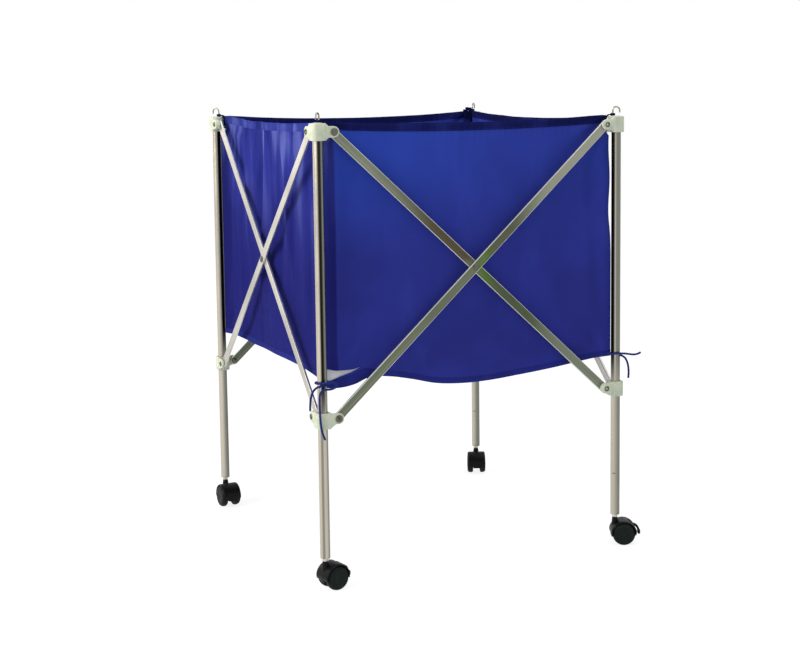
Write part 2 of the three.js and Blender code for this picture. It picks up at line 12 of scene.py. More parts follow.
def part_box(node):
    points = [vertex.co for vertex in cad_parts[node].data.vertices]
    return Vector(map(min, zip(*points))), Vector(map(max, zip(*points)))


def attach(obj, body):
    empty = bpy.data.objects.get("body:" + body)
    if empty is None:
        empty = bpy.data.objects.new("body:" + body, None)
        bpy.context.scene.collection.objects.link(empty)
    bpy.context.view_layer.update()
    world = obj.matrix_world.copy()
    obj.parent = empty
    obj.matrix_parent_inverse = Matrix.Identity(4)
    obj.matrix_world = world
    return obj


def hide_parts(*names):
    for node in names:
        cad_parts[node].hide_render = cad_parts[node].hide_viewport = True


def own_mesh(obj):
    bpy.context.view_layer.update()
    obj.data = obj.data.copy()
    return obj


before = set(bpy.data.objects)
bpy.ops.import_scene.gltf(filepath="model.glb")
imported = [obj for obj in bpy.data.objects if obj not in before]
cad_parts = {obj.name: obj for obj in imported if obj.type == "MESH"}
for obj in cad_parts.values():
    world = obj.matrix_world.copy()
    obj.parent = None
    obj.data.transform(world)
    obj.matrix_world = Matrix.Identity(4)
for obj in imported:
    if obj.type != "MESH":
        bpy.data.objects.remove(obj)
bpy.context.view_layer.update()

CORNERS = ["front_left", "front_right", "back_right", "back_left"]
FACES = ["front", "right", "back", "left"]
HEADINGS = [12, -24, 246, -86]  # degrees by which the casters are turned
PRESS_MARKS = [43, -137, -137, 43]  # degrees at which the marks on the tubes face
TUBE_TURN = 156  # degrees at which the tubes' painted shade and reflection bands start


def measured(node, end, axis):
    """Where a node of the solids begins (end 0) or stops (end 1) along an axis, in millimetres."""
    return round(1000 * float(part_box(node)[end][axis]), 2)


TUBE = "front_left_leg_tube"
HALF = (measured("front_right_leg_tube", 0, 0) - measured(TUBE, 0, 0)) / 2  # middle to a tube's axis
TUBE_RADIUS = (measured(TUBE, 1, 0) - measured(TUBE, 0, 0)) / 2
FOOT, TUBE_TOP = measured(TUBE, 0, 2), measured(TUBE, 1, 2)
TOP = measured("front_left_top_bracket", 1, 2)  # of the brackets
BRACKET_HALF, SLIDER_BELOW = 16.0, 18.5  # from the end rivets to a bracket's and a slider's end
TOP_PIVOT = TOP - BRACKET_HALF
LOW_PIVOT = measured("front_left_slider", 0, 2) + SLIDER_BELOW
REACH = 28.0  # from a tube's axis to the end rivets beside it
WHEEL_RADIUS = measured("front_left_wheel_right", 1, 2) / 2
BAG_BOTTOM, RIM = 398.0, measured("bag_front_wall", 1, 2)  # heights of the bag's corners
RIM_TAPE, LOWER_HEM = 15, 11  # widths
RIM_ROWS, HEM_ROW = (2.2, 12.8), 8.2  # heights of the rows of thread on them
WALL_FLAT, FLOOR_FLAT = (0.62, 0.49), (0.61, 0.305)  # metres of flat cloth
CORD_DIAMETER = 0.0042  # metres

tubes = [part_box(f"{c}_leg_tube") for c in CORNERS]
middle = np.mean([np.array(low) + np.array(high) for low, high in tubes], axis=0) / 2
middle[2] = 0.0


# Camera first: the photograph's view, fitted to the frame's corners and pivots.
def add_camera():
    azimuth, elevation, roll = (math.radians(a) for a in (-24.22, 6.27, -0.66))
    back = Vector(
        (
            math.sin(azimuth) * math.cos(elevation),
            -math.cos(azimuth) * math.cos(elevation),
            math.sin(elevation),
        )
    )
    right = (-back).cross(Vector((0, 0, 1))).normalized()
    up = back.cross(right)
    turned_right = math.cos(roll) * right + math.sin(roll) * up
    turned_up = math.cos(roll) * up - math.sin(roll) * right
    data = bpy.data.cameras.new("camera")
    data.sensor_width = 36.0
    data.lens = 66.3
    data.shift_x = -0.0175
    data.shift_y = -0.115
    camera = bpy.data.objects.new("camera", data)
    bpy.context.collection.objects.link(camera)
    target = Vector((0.0154 + middle[0], middle[1], 0.616))
    rotation = Matrix((turned_right, turned_up, back)).transposed().to_4x4()
    camera.matrix_world = Matrix.Translation(target + 3.154 * back) @ rotation
    bpy.context.scene.camera = camera


add_camera()


# Materials
def add_node(tree, kind, settings=None, sockets=None, output=0):
    """Adds a node with its settings, then the values or links of its sockets."""
    node = tree.nodes.new(kind)
    for name, setting in (settings or {}).items():
        setattr(node, name, setting)
    for name, item in (sockets or {}).items():
        if isinstance(item, Value):
            tree.links.new(item.socket, node.inputs[name])
        elif item is not None:
            node.inputs[name].default_value = item
    return Value(tree, node.outputs[output])


def work_out(operation, *items):
    tree = next(item.tree for item in items if isinstance(item, Value))
    return add_node(tree, "ShaderNodeMath", {"operation": operation}, dict(enumerate(items)))


class Value:
    """A socket's value. Arithmetic on it adds the nodes that work it out."""

    def __init__(self, tree, socket):
        self.tree, self.socket = tree, socket

    def output(self, name):
        return Value(self.tree, self.socket.node.outputs[name])

    def __add__(self, other):
        return work_out("ADD", self, other)

    def __sub__(self, other):
        return work_out("SUBTRACT", self, other)

    def __rsub__(self, other):
        return work_out("SUBTRACT", other, self)

    def __mul__(self, other):
        return work_out("MULTIPLY", self, other)

    __radd__, __rmul__ = __add__, __mul__

    def __abs__(self):
        return work_out("ABSOLUTE", self)

    def sine(self):
        return work_out("SINE", self)

    def larger(self, other):
        return work_out("MAXIMUM", self, other)

    def spread(self, low, high, to_low=0.0, to_high=1.0):
        """Goes softly from one value to another as this one goes from low to high."""
        ends = {"From Min": low, "From Max": high, "To Min": to_low, "To Max": to_high}
        settings = {"interpolation_type": "SMOOTHSTEP"}
        return add_node(self.tree, "ShaderNodeMapRange", settings, {"Value": self, **ends})


class Surface:
    """A Principled material whose colour, roughness and bump are built up step by step."""

    def __init__(self, name, color, roughness, metallic=0.0, **fixed):
        self.material = bpy.data.materials.new(name)
        self.material.use_nodes = True
        self.tree = self.material.node_tree
        self.shader = self.tree.nodes["Principled BSDF"]
        self.color_now = (*color, 1.0)
        self.set("Base Color", self.color_now)
        self.set("Roughness", roughness)
        self.set("Metallic", metallic)
        for key, number in fixed.items():
            self.set(key.replace("_", " ").title().replace("Ior", "IOR"), number)
        self.coordinates = add_node(self.tree, "ShaderNodeTexCoord")
        self.last_normal = None

    def set(self, name, number):
        self.shader.inputs[name].default_value = number

    def axes(self, kind="Object"):
        split = add_node(self.tree, "ShaderNodeSeparateXYZ", None, {0: self.coordinates.output(kind)})
        return [split.output(name) for name in "XYZ"]

    def noise(self, scale, stretch=(1, 1, 1), detail=2.0, kind="Object", shift=0.0):
        where = {
            "Vector": self.coordinates.output(kind),
            "Scale": [scale * share for share in stretch],
            "Location": (shift, 2 * shift, 3 * shift),
        }
        mapped = add_node(self.tree, "ShaderNodeMapping", None, where)
        sizes = {"Vector": mapped, "Scale": 1.0, "Detail": detail}
        return add_node(self.tree, "ShaderNodeTexNoise", None, sizes)

    def tint(self, color, amount):
        """Mixes the colour so far with another by an amount between 0 and 1."""
        sockets = {0: amount, 6: self.color_now, 7: (*color, 1.0)}
        self.color_now = add_node(self.tree, "ShaderNodeMix", {"data_type": "RGBA"}, sockets, 2)
        return self.vary("Base Color", self.color_now)

    def vary(self, name, value):
        self.tree.links.new(value.socket, self.shader.inputs[name])
        return self

    def bump(self, height, distance, strength=1.0):
        sockets = {"Strength": strength, "Distance": distance, "Height": height}
        sockets["Normal"] = self.last_normal
        self.last_normal = add_node(self.tree, "ShaderNodeBump", None, sockets)
        return self.vary("Normal", self.last_normal)


def rgb(code):
    """Linear colour from a six-digit display colour."""
    parts = [int(code[i : i + 2], 16) / 255 for i in (0, 2, 4)]
    return tuple(p / 12.92 if p <= 0.04045 else ((p + 0.055) / 1.055) ** 2.4 for p in parts)


# Painted light along each tube, for its upper and its lower part: a painted grey shade on one side
# and a painted reflection of the bag as a dark band. The grey side begins and is full, the dark band
# begins and ends (shares of a turn), how dark it is.
TUBE_SHADE_AND_REFLECTION_BANDS = {
    "front_left": ((0.2, 0.28, 0.262, 0.312, 1.0), (0.33, 0.43, 0.21, 0.24, 0.55)),
    "front_right": ((0.2, 0.26, -0.2, 0.165, 1.0), (0.1, 0.37, 0.43, 0.6, 0.4)),
    "back_left": ((0.15, 0.33, 0.33, 0.6, 1.0), (0.2, 0.38, 0.43, 0.6, 0.4)),
    "back_right": ((0.15, 0.33, 0.33, 0.6, 1.0), (0.14, 0.32, 0.43, 0.6, 0.4)),
}
REFLECTION_BAND_EDGE = 0.055


def tube_material(corner):
    """Drawn aluminium: its painted shade and reflection bands, then fine lines along the tube and a few
    smudges.
    """
    s = Surface(f"anodised_{corner}_tube", rgb("bfb8aa"), 0.3, 0.95)
    around, _, _ = s.axes("UV")
    low = s.axes()[2].spread(0.4, 0.3)
    # painted shade on one side, then the bag's painted reflection as a dark band
    for part, (pale_end, grey, dark_from, dark_to, depth) in zip((1 - low, low), TUBE_SHADE_AND_REFLECTION_BANDS[corner]):
        s.tint(rgb("777970"), part * around.spread(pale_end, grey) * around.spread(1.0, 0.75))
        begins = around.spread(dark_from - REFLECTION_BAND_EDGE, dark_from)
        ends = around.spread(dark_to + REFLECTION_BAND_EDGE, dark_to)
        s.tint(rgb("15150f"), part * (begins * ends) * depth)
    streaks = s.noise(1.0, (26, 0.8, 1), 3.0, "UV")
    fine = s.noise(1.0, (150, 3.0, 1), 2.0, "UV", 5.0)
    s.tint(rgb("5c594e"), streaks.spread(0.5, 0.75, 0.0, 0.2))
    s.tint(rgb("d3d0c4"), fine.spread(0.52, 0.8, 0.0, 0.1))
    smudge = s.noise(14.0, detail=3.0, shift=2.0)
    s.vary("Roughness", smudge.spread(0.35, 0.7, 0.24, 0.38))
    s.bump(fine, 0.00012, 0.35)
    return s.material


def bar_material(name, color, dark, light, painted_reflections=False):
    """Rolled aluminium with lines along it; with painted reflections, what the arms above and below the
    crossing reflect is painted on as brown, olive, pale and green patches."""
    s = Surface(name, rgb(color), 0.4, 0.85)
    along = s.noise(1.0, (1.6, 160, 1), 3.0, "UV")
    clouds = s.noise(5.0, detail=2.0, shift=1.0)
    s.tint(rgb(dark), clouds.spread(0.4, 0.62, 0.0, 0.6))
    # painted reflections of the arms above and below the crossing
    if painted_reflections:
        east, _, height = s.axes()
        crossing = (TOP_PIVOT + LOW_PIVOT) / 2000
        above = height.spread(crossing - 0.01, crossing + 0.02)
        s.tint(rgb("463c28"), above * east.spread(-0.21, -0.09) * east.spread(0.0, -0.015) * 0.88)
        s.tint(rgb("474b36"), above * east.spread(0.13, 0.06) * east.spread(0.0, 0.015) * 0.8)
        s.tint(rgb("a6a798"), above * east.spread(0.11, 0.16) * 0.5)
        s.tint(rgb("38472a"), (1 - above) * east.spread(-0.01, 0.01) * east.spread(0.18, 0.09) * 0.8)
        s.tint(rgb("4f5a44"), (1 - above) * east.spread(0.01, -0.02) * 0.55)
        s.tint(rgb("4d6a26"), east.spread(-0.02, -0.004) * east.spread(0.03, 0.01) * 0.75)
    s.tint(rgb(light), along.spread(0.52, 0.78, 0.0, 0.4))
    s.vary("Roughness", along.spread(0.3, 0.7, 0.32, 0.5))
    s.bump(along, 0.0001, 0.35)
    return s.material


def steel_material(name, color, dark, roughness):
    s = Surface(name, rgb(color), roughness, 1.0)
    patches = s.noise(180.0, detail=3.0)
    s.tint(rgb(dark), patches.spread(0.5, 0.72, 0.0, 0.7))
    s.vary("Roughness", patches.spread(0.35, 0.7, roughness - 0.08, roughness + 0.14))
    s.bump(s.noise(900.0, detail=1.0), 0.00005, 0.3)
    return s.material


def nylon_material():
    s = Surface("white_nylon", rgb("ced6c2"), 0.42, 0.0, subsurface_weight=0.1)
    s.set("Subsurface Radius", (0.004, 0.004, 0.003))
    s.set("Specular IOR Level", 0.3)
    s.tint(rgb("b6c2ad"), s.noise(60.0, detail=3.0).spread(0.42, 0.66, 0.0, 0.6))
    s.tint(rgb("dcdecc"), s.noise(28.0, detail=2.0, shift=4.0).spread(0.5, 0.7, 0.0, 0.5))
    s.vary("Roughness", s.noise(120.0, detail=3.0, shift=2.0).spread(0.3, 0.7, 0.36, 0.54))
    s.bump(s.noise(1500.0, detail=2.0), 0.00006, 0.4)
    return s.material


def black_material(name, color, light, roughness, grain=1800.0):
    s = Surface(name, rgb(color), roughness, 0.0)
    s.set("Specular IOR Level", 0.1)
    s.tint(rgb(light), s.noise(90.0, detail=4.0).spread(0.45, 0.75, 0.0, 0.6))
    rough = s.noise(240.0, detail=3.0, shift=3.0).spread(0.3, 0.7, roughness - 0.1, roughness + 0.1)
    s.vary("Roughness", rough)
    s.bump(s.noise(grain, detail=2.0), 0.00008, 0.5)
    return s.material


def cloth_material(name, color, dark, light, grooves=(), with_painted_light=False):
    """Woven cloth. Grooves are the heights of sewn lines on a hem; with painted light, the cloth is
    painted paler high up and darker low down, and the left wall is painted darker low down and at
    its back end, with painted light and shade of pleats."""
    s = Surface(name, rgb(color), 0.68, 0.0, ior=1.12, sheen_weight=0.01, sheen_roughness=0.5)
    s.set("Specular IOR Level", 0.06)
    s.tint(rgb(dark), s.noise(9.0, detail=3.0).spread(0.42, 0.7, 0.0, 0.55))
    s.tint(rgb(light), s.noise(16.0, (1, 1, 0.35), 3.0, shift=3.0).spread(0.52, 0.78, 0.0, 0.4))
    east, north, height = s.axes()
    if with_painted_light:
        # painted light and shade: paler tops and darker lower parts of the walls
        left = east.spread(-0.294, -0.3) * north.spread(-0.306, -0.3)
        upper = height.spread(0.58, 0.86, 0.0, 0.65) * east.spread(0.2, -0.3, 0.35, 1.0)
        s.tint(rgb("3052c6"), upper * (1 - left))
        s.tint(rgb("2c2678"), height.spread(0.66, 0.36, 0.0, 0.15) * east.spread(-0.3, 0.3, 0.3, 1.0))
        # painted shade at the back end of the left wall, beside the back left tube
        s.tint(rgb("10133e"), left * north.spread(0.28, 0.305, 0.0, 0.7))
        # painted light and shade of pleats on the left wall: darker low down and in the hollows, paler on
        # the crests high up
        pleat_light_and_shade = s.noise(1.0, (24, 2.5, 1), 2.0, "UV", 3.0)
        s.tint(rgb("1f2069"), left * height.spread(0.84, 0.55, 0.1, 0.85))
        s.tint(rgb("1a1d62"), left * pleat_light_and_shade.spread(0.5, 0.34, 0.0, 0.6))
        s.tint(rgb("656fba"), left * pleat_light_and_shade.spread(0.5, 0.68, 0.0, 0.75) * height.spread(0.6, 0.84))
    s.vary("Roughness", s.noise(40.0, detail=3.0, shift=1.0).spread(0.3, 0.7, 0.6, 0.78))
    across, up, _ = s.axes("UV")
    pitch = 2 * math.pi / 0.0012
    weave = (across * pitch).sine() * (up * pitch).sine()
    s.bump(weave, 0.00009, 0.35)
    s.bump(s.noise(210.0, detail=3.0), 0.0004, 0.25)
    for groove in grooves:
        s.bump(abs(up - 0.001 * groove).spread(0.0, 0.0022), 0.0005, 0.6)
    return s.material


def cord_material():
    s = Surface("tie_cord", rgb("22307a"), 0.72, 0.0, sheen_weight=0.05)
    s.set("Specular IOR Level", 0.1)
    around, along, _ = s.axes("UV")
    plait_a = (around * (4 * math.pi) + along * 1500.0).sine()
    plait_b = (around * (4 * math.pi) - along * 1500.0).sine()
    plait = plait_a.larger(plait_b)
    # painted shade in the hollows between the plait's strands
    s.tint(rgb("12173c"), plait.spread(-0.2, 0.9, 1.0, 0.0) * 0.7)
    s.tint(rgb("2a3687"), s.noise(500.0, detail=2.0).spread(0.55, 0.75, 0.0, 0.5))
    s.bump(plait, 0.0003, 0.7)
    return s.material


TUBES = {corner: tube_material(corner) for corner in CORNERS}
BAR = bar_material("flat_bar", "7e8473", "636a5b", "aeb1a2", True)
# a paler copy of the bar for its rounded edges: a painted highlight along them
BAR_EDGE_HIGHLIGHT = bar_material("bar_edge_painted_highlight", "d6d6cf", "aeafa6", "efefea")
# a paler copy of the bar for the bars of the side faces: painted light
SIDE_BAR_PAINTED_LIGHT = bar_material("flat_bar_side_painted_light", "c6c2bb", "a5a098", "dad8d2")
STEEL = steel_material("bright_steel", "9c9a90", "4a4842", 0.2)
PALE_STEEL = steel_material("pale_steel", "dcdad2", "8c897d", 0.26)
RIVET = steel_material("rivet_steel", "646759", "3a3b32", 0.38)
NYLON = nylon_material()
HOOD = black_material("black_plastic", "0e0f10", "1a1a1a", 0.4)
WHEEL = black_material("wheel_plastic", "131b19", "1d2826", 0.5, 1200.0)
# painted shadow for the tubes' press marks and the rivets' hollows
DARK = black_material("deep_shadow", "070707", "0c0c0c", 0.8)
CLOTH = cloth_material("bag_cloth", "303793", "2a2f7c", "3843a6", with_painted_light=True)
HEM = cloth_material("bag_hem", "171c56", "131744", "2b358a", RIM_ROWS)
SEAM = cloth_material("bag_seam", "272e80", "1f2568", "3c48a4", (HEM_ROW,))
# a paler copy of the hem for the left wall's tape: painted light where the key lamp falls
LEFT_HEM_PAINTED_LIGHT = cloth_material("bag_left_hem_painted_light", "38439c", "303a8a", "5560b2", RIM_ROWS, with_painted_light=True)
# near-white cloth for the slit: painted light standing in for the bright background seen through it
SLIT_PAINTED_LIGHT = cloth_material("bag_slit_painted_light", "dcdfe6", "b4b9c4", "eeeeee")
WEBBING = cloth_material("bag_webbing", "12163e", "0d0f2c", "1f2660")
THREAD = cloth_material("bag_thread", "303c96", "252d7a", "4450ac")
CORD = cord_material()


# Shapes
class Shape:
    """Faces gathered from several solids, with a material number for each."""

    def __init__(self):
        self.points, self.faces, self.kinds, self.uvs = [], [], [], []

    def add(self, solid, kind=0, matrix=None):
        points, faces, uvs = solid
        start = len(self.points)
        for p in points:
            v = Vector(p)
            self.points.append(matrix @ v if matrix else v)
        for face in faces:
            self.faces.append([start + i for i in face])
            self.kinds.append(kind)
        self.uvs.extend(uvs)
        return self

    def piece(self, name, materials, body, node, slot, sharp=38):
        """The object made of all faces; it rides a body and replaces a node of the solids."""
        mesh = bpy.data.meshes.new(name)
        metres = [place(p) for p in self.points]
        mesh.from_pydata(metres, [], self.faces)
        for material in materials:
            mesh.materials.append(material)
        mesh.polygons.foreach_set("material_index", self.kinds)
        layer = mesh.uv_layers.new(name="UVMap")
        flat = np.array(self.uvs, dtype=np.float32)
        index = np.empty(len(mesh.loops), dtype=np.int32)
        mesh.loops.foreach_get("vertex_index", index)
        flat = flat[index]
        # a face across the seam of a round piece runs on past 1
        for face in mesh.polygons:
            if face.loop_total == 4:
                part = flat[face.loop_start : face.loop_start + 4, 0]
                if part.max() - part.min() > 0.85:
                    part[part < 0.5] += 1.0
        layer.data.foreach_set("uv", flat.ravel())
        mesh.validate()
        mesh.shade_smooth()
        mesh.set_sharp_from_angle(angle=math.radians(sharp))
        made = bpy.data.objects.new(name, mesh)
        bpy.context.collection.objects.link(made)
        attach(made, body)
        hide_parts(node)
        return made


def place(p):
    """Metres in the scene from millimetres in the cart's frame."""
    return (p[0] * 0.001 + middle[0], p[1] * 0.001 + middle[1], p[2] * 0.001)


def rings(loops, closed_ends=True):
    """Skins a row of closed loops of equal length; the ends are filled."""
    count = len(loops[0])
    points, faces, uvs = [], [], []
    travelled = 0.0
    for level, loop in enumerate(loops):
        if level:
            travelled += math.dist(loop[0], loops[level - 1][0])
        points.extend(loop)
        uvs.extend((i / count, travelled * 0.001) for i in range(count))
    for level in range(len(loops) - 1):
        for i in range(count):
            j = (i + 1) % count
            a, b = level * count, (level + 1) * count
            faces.append([a + i, a + j, b + j, b + i])
    if closed_ends:
        faces.append(list(range(count))[::-1])
        last = (len(loops) - 1) * count
        faces.append([last + i for i in range(count)])
    return points, outward(points, faces), uvs


def outward(points, faces):
    """Turns all faces over where the solid would be inside out."""
    total = 0.0
    for face in faces:
        a = points[face[0]]
        for i in range(1, len(face) - 1):
            b, c = points[face[i]], points[face[i + 1]]
            total += a[0] * (b[1] * c[2] - b[2] * c[1])
            total += a[1] * (b[2] * c[0] - b[0] * c[2])
            total += a[2] * (b[0] * c[1] - b[1] * c[0])
    return faces if total > 0 else [face[::-1] for face in faces]


def lathe(profile, sides=40):
    """Turns a profile of radius and height about Z; it starts and ends near the axis."""
    loops = []
    for radius, height in profile:
        circle = arc(0, 0, max(radius, 0.02), 0, 360, sides)[:-1]
        loops.append([(x, y, height) for x, y in circle])
    return rings(loops)


def disc(radius, low, high, sides):
    return lathe([(0, low), (radius, low), (radius, high), (0, high)], sides)


def arc(cx, cy, radius, start, end, steps):
    turn = [math.radians(start + (end - start) * i / steps) for i in range(steps + 1)]
    return [(cx + radius * math.cos(a), cy + radius * math.sin(a)) for a in turn]


def bend(start, pull, end, steps=8):
    """Points of a curve from a start, left out here, that is pulled to a point and ends at another."""
    made = []
    for i in range(1, steps + 1):
        t = i / steps
        a, b, c = (1 - t) ** 2, 2 * t * (1 - t), t * t
        made.append(tuple(a * p + b * q + c * r for p, q, r in zip(start, pull, end)))
    return made


def inset(outline, amount):
    """Moves each corner of an anticlockwise outline inwards."""
    made = []
    count = len(outline)
    for i in range(count):
        before, here, after = outline[i - 1], outline[i], outline[(i + 1) % count]
        first = Vector((here[0] - before[0], here[1] - before[1]))
        second = Vector((after[0] - here[0], after[1] - here[1]))
        if first.length < 1e-9 or second.length < 1e-9:
            made.append(here)
            continue
        first.normalize()
        second.normalize()
        normal = Vector((-first.y - second.y, first.x + second.x))
        size = normal.length
        normal = normal / size if size > 1e-6 else Vector((-first.y, first.x))
        reach = amount / max(0.5, size / 2)
        made.append((here[0] + normal.x * reach, here[1] + normal.y * reach))
    return made


def plate(outline, low, high, edge=0.0, steps=3):
    """A plate between two heights with rounded edges; the outline runs anticlockwise."""
    area = sum(
        outline[i - 1][0] * outline[i][1] - outline[i][0] * outline[i - 1][1]
        for i in range(len(outline))
    )
    if area < 0:
        outline = outline[::-1]
    levels = []
    if edge:
        for i in range(steps + 1):
            a = math.pi / 2 * i / steps
            levels.append((edge * (1 - math.sin(a)), low + edge * (1 - math.cos(a))))
        levels += [(amount, high + low - height) for amount, height in reversed(levels)]
    else:
        levels = [(0.0, low), (0.0, high)]
    loops = []
    for amount, height in levels:
        flat = inset(outline, amount) if amount else outline
        loops.append([(x, y, height) for x, y in flat])
    points, faces, _ = rings(loops)
    return points, faces, [(x * 0.001, y * 0.001) for x, y, _ in points]


def new_tree(name, **sizes):
    """A tree of geometry nodes with named inputs for its sizes: the tree, its inputs and the
    chain that it starts from."""
    tree = bpy.data.node_groups.new(name, "GeometryNodeTree")
    for in_out in ("INPUT", "OUTPUT"):
        tree.interface.new_socket("Geometry", in_out=in_out, socket_type="NodeSocketGeometry")
    for size, kind in {**sizes, "Finish": "Material"}.items():
        tree.interface.new_socket(size, in_out="INPUT", socket_type=f"NodeSocket{kind}")
    given = add_node(tree, "NodeGroupInput")
    return tree, given, add_node(tree, "GeometryNodeMeshToCurve", None, {"Mesh": given.output("Geometry")})


def end_tree(tree, given, made):
    made = add_node(tree, "GeometryNodeRealizeInstances", None, {"Geometry": made})
    sockets = {"Geometry": made, "Material": given.output("Finish")}
    made = add_node(tree, "GeometryNodeSetMaterial", None, sockets)
    finish = tree.nodes.new("NodeGroupOutput")
    tree.links.new(made.socket, finish.inputs[0])
    return tree


def named(tree, geometry, name, value):
    sockets = {"Geometry": geometry, "Name": name, "Value": value}
    return add_node(tree, "GeometryNodeStoreNamedAttribute", None, sockets)


def cord_tree():
    """A round cord along a chain, as thick at each point as its radius says."""
    tree, given, path = new_tree("cord_along_path", Sides="Int")
    radius = add_node(tree, "GeometryNodeInputNamedAttribute", None, {"Name": "thickness"})
    place_on = add_node(tree, "GeometryNodeSplineParameter")
    path = named(tree, path, "along", place_on.output("Length") * 0.001)
    sockets = {"Resolution": given.output("Sides"), "Radius": 1.0}
    ring = add_node(tree, "GeometryNodeCurvePrimitiveCircle", None, sockets)
    ring = named(tree, ring, "around", place_on.output("Factor"))
    sockets = {"Curve": path, "Profile Curve": ring, "Scale": radius, "Fill Caps": True}
    return end_tree(tree, given, add_node(tree, "GeometryNodeCurveToMesh", None, sockets))


def stitch_tree():
    """Threads that lie in a row along a chain."""
    tree, given, path = new_tree("stitches_along_path", Pitch="Float", Length="Float", Thread="Float")
    sockets = {"Curve": path, "Length": given.output("Pitch")}
    row = add_node(tree, "GeometryNodeResampleCurve", {"mode": "LENGTH"}, sockets)
    thread = add_node(tree, "GeometryNodeMeshUVSphere", None, {"Segments": 6, "Rings": 4, "Radius": 0.5})
    sizes = {"X": given.output("Length"), "Y": given.output("Thread"), "Z": given.output("Thread")}
    size = add_node(tree, "ShaderNodeCombineXYZ", None, sizes)
    tangent = add_node(tree, "GeometryNodeInputTangent")
    turned = add_node(tree, "FunctionNodeAlignRotationToVector", {"axis": "X"}, {"Vector": tangent})
    sockets = {"Points": row, "Instance": thread, "Rotation": turned, "Scale": size}
    return end_tree(tree, given, add_node(tree, "GeometryNodeInstanceOnPoints", None, sockets))


def grown(tree, chain, radii=None, **sizes):
    """What a tree makes along a chain of points, as a solid for a Shape."""
    mesh = bpy.data.meshes.new("chain")
    mesh.from_pydata(chain, [(i, i + 1) for i in range(len(chain) - 1)], [])
    if radii is not None:
        mesh.attributes.new("thickness", "FLOAT", "POINT").data.foreach_set("value", radii)
    thing = bpy.data.objects.new("chain", mesh)
    bpy.context.collection.objects.link(thing)
    modifier = thing.modifiers.new("grow", "NODES")
    modifier.node_group = tree
    for item in tree.interface.items_tree:
        if item.in_out == "INPUT" and item.name in sizes:
            modifier[item.identifier] = sizes[item.name]
    made = bpy.data.meshes.new_from_object(thing.evaluated_get(bpy.context.evaluated_depsgraph_get()))
    points = [tuple(v.co) for v in made.vertices]
    faces = [list(face.vertices) for face in made.polygons]
    uvs = np.zeros((len(points), 2), dtype=np.float32)
    for column, name in enumerate(("around", "along")):
        if name in made.attributes:
            held = np.empty(len(points), dtype=np.float32)
            made.attributes[name].data.foreach_get("value", held)
            uvs[:, column] = held
    bpy.data.objects.remove(thing)
    bpy.data.meshes.remove(mesh)
    bpy.data.meshes.remove(made)
    return points, outward(points, faces), uvs.tolist()


CORD_TREE, STITCH_TREE = cord_tree(), stitch_tree()


def sweep(points, radius, sides):
    """A round cord or wire along points; its radius may follow from the share of its length."""
    last = len(points) - 1
    radii = [radius(i / last) if callable(radius) else radius for i in range(last + 1)]
    return grown(CORD_TREE, points, radii, Sides=sides)


def smooth_route(points, steps):
    """Centripetal Catmull-Rom through the points, as even steps between neighbours."""
    p = [np.array(q, float) for q in points]
    p = [2 * p[0] - p[1]] + p + [2 * p[-1] - p[-2]]
    made = []
    for i in range(1, len(p) - 2):
        a, b, c, d = p[i - 1 : i + 3]
        t = [0.0]
        for u, v in ((a, b), (b, c), (c, d)):
            t.append(t[-1] + max(np.linalg.norm(v - u), 1e-4) ** 0.5)
        for k in range(steps):
            x = t[1] + (t[2] - t[1]) * k / steps
            ab = ((t[1] - x) * a + (x - t[0]) * b) / (t[1] - t[0])
            bc = ((t[2] - x) * b + (x - t[1]) * c) / (t[2] - t[1])
            cd = ((t[3] - x) * c + (x - t[2]) * d) / (t[3] - t[2])
            abc = ((t[2] - x) * ab + (x - t[0]) * bc) / (t[2] - t[0])
            bcd = ((t[3] - x) * bc + (x - t[1]) * cd) / (t[3] - t[1])
            made.append(((t[2] - x) * abc + (x - t[1]) * bcd) / (t[2] - t[1]))
    made.append(p[-2])
    return [tuple(q) for q in made]


def turn_z(degrees):
    return Matrix.Rotation(math.radians(degrees), 4, "Z")


def shift(x, y, z):
    return Matrix.Translation((x, y, z))


UPRIGHT = Matrix.Rotation(math.radians(90), 4, "X")


def corner_matrix(k):
    """From the front left corner, with its leg's axis as the origin, to corner k."""
    return turn_z(90 * k) @ shift(-HALF, -HALF, 0)


def face_matrix(k):
    """From what is drawn face on (right, up, out of the plane of the legs) to face k."""
    return turn_z(90 * k) @ shift(0, -HALF, 0) @ UPRIGHT


# Ties, as in the solids: their routes from the corner of the bag that each is tied to
FL_TIE = [
    (-25, -0.8, -50), (-25, -1.9, -37), (-23.6, -3.7, -23), (-19.6, -7.1, -11), (-13.4, -10.4, -5),
    (-5.7, -12.8, -3), (1.7, -13.4, -2.5), (9.3, -8.6, -2), (13, -0.4, -1), (14.5, 7.8, 0),
    (12.2, 13.7, 0), (4.3, 14.5, 0.6), (-4.5, 11.9, 0.6), (-11, 6, 0.9), (-12.9, -1.9, 1.1),
    (-10.3, -9.6, 1.6), (-3.6, -15.4, 2.4), (4.8, -18.6, 3.6), (14, -20, 3.6), (20.5, -20.2, 0),
    (18.5, -19.8, -6), (10, -19.3, -9), (0.3, -18.8, -9), (-6.9, -17.7, -11), (-10.7, -16.6, -18),
    (-11.4, -15.7, -30), (-11.3, -15.4, -45), (-10.9, -15.6, -60), (-10, -16, -75),
    (-7.6, -16.9, -90), (-2.8, -18.5, -104),
]
FR_TIE = [
    (44.9, -24.6, 3), (38.1, -22.6, 0), (30.4, -20.2, -1), (22.7, -17.9, 0), (14.5, -16.4, 1.5),
    (6, -15.9, 2.5), (-1.9, -14, 3), (-9.5, -8.9, 2), (-13.6, -1, 1), (-14.6, 6.6, 0.5),
    (-13.3, 12.6, 0), (-6.9, 16.3, -1), (1, 14.4, -2), (8.1, 10, -3), (11.6, 4, -3.5),
    (11, -3.5, -4), (11.2, -10.7, -4.5), (13.8, -15.5, -8), (16.8, -17.4, -15), (19.3, -18, -25),
    (20.4, -18, -37), (20.4, -16.8, -49),
]


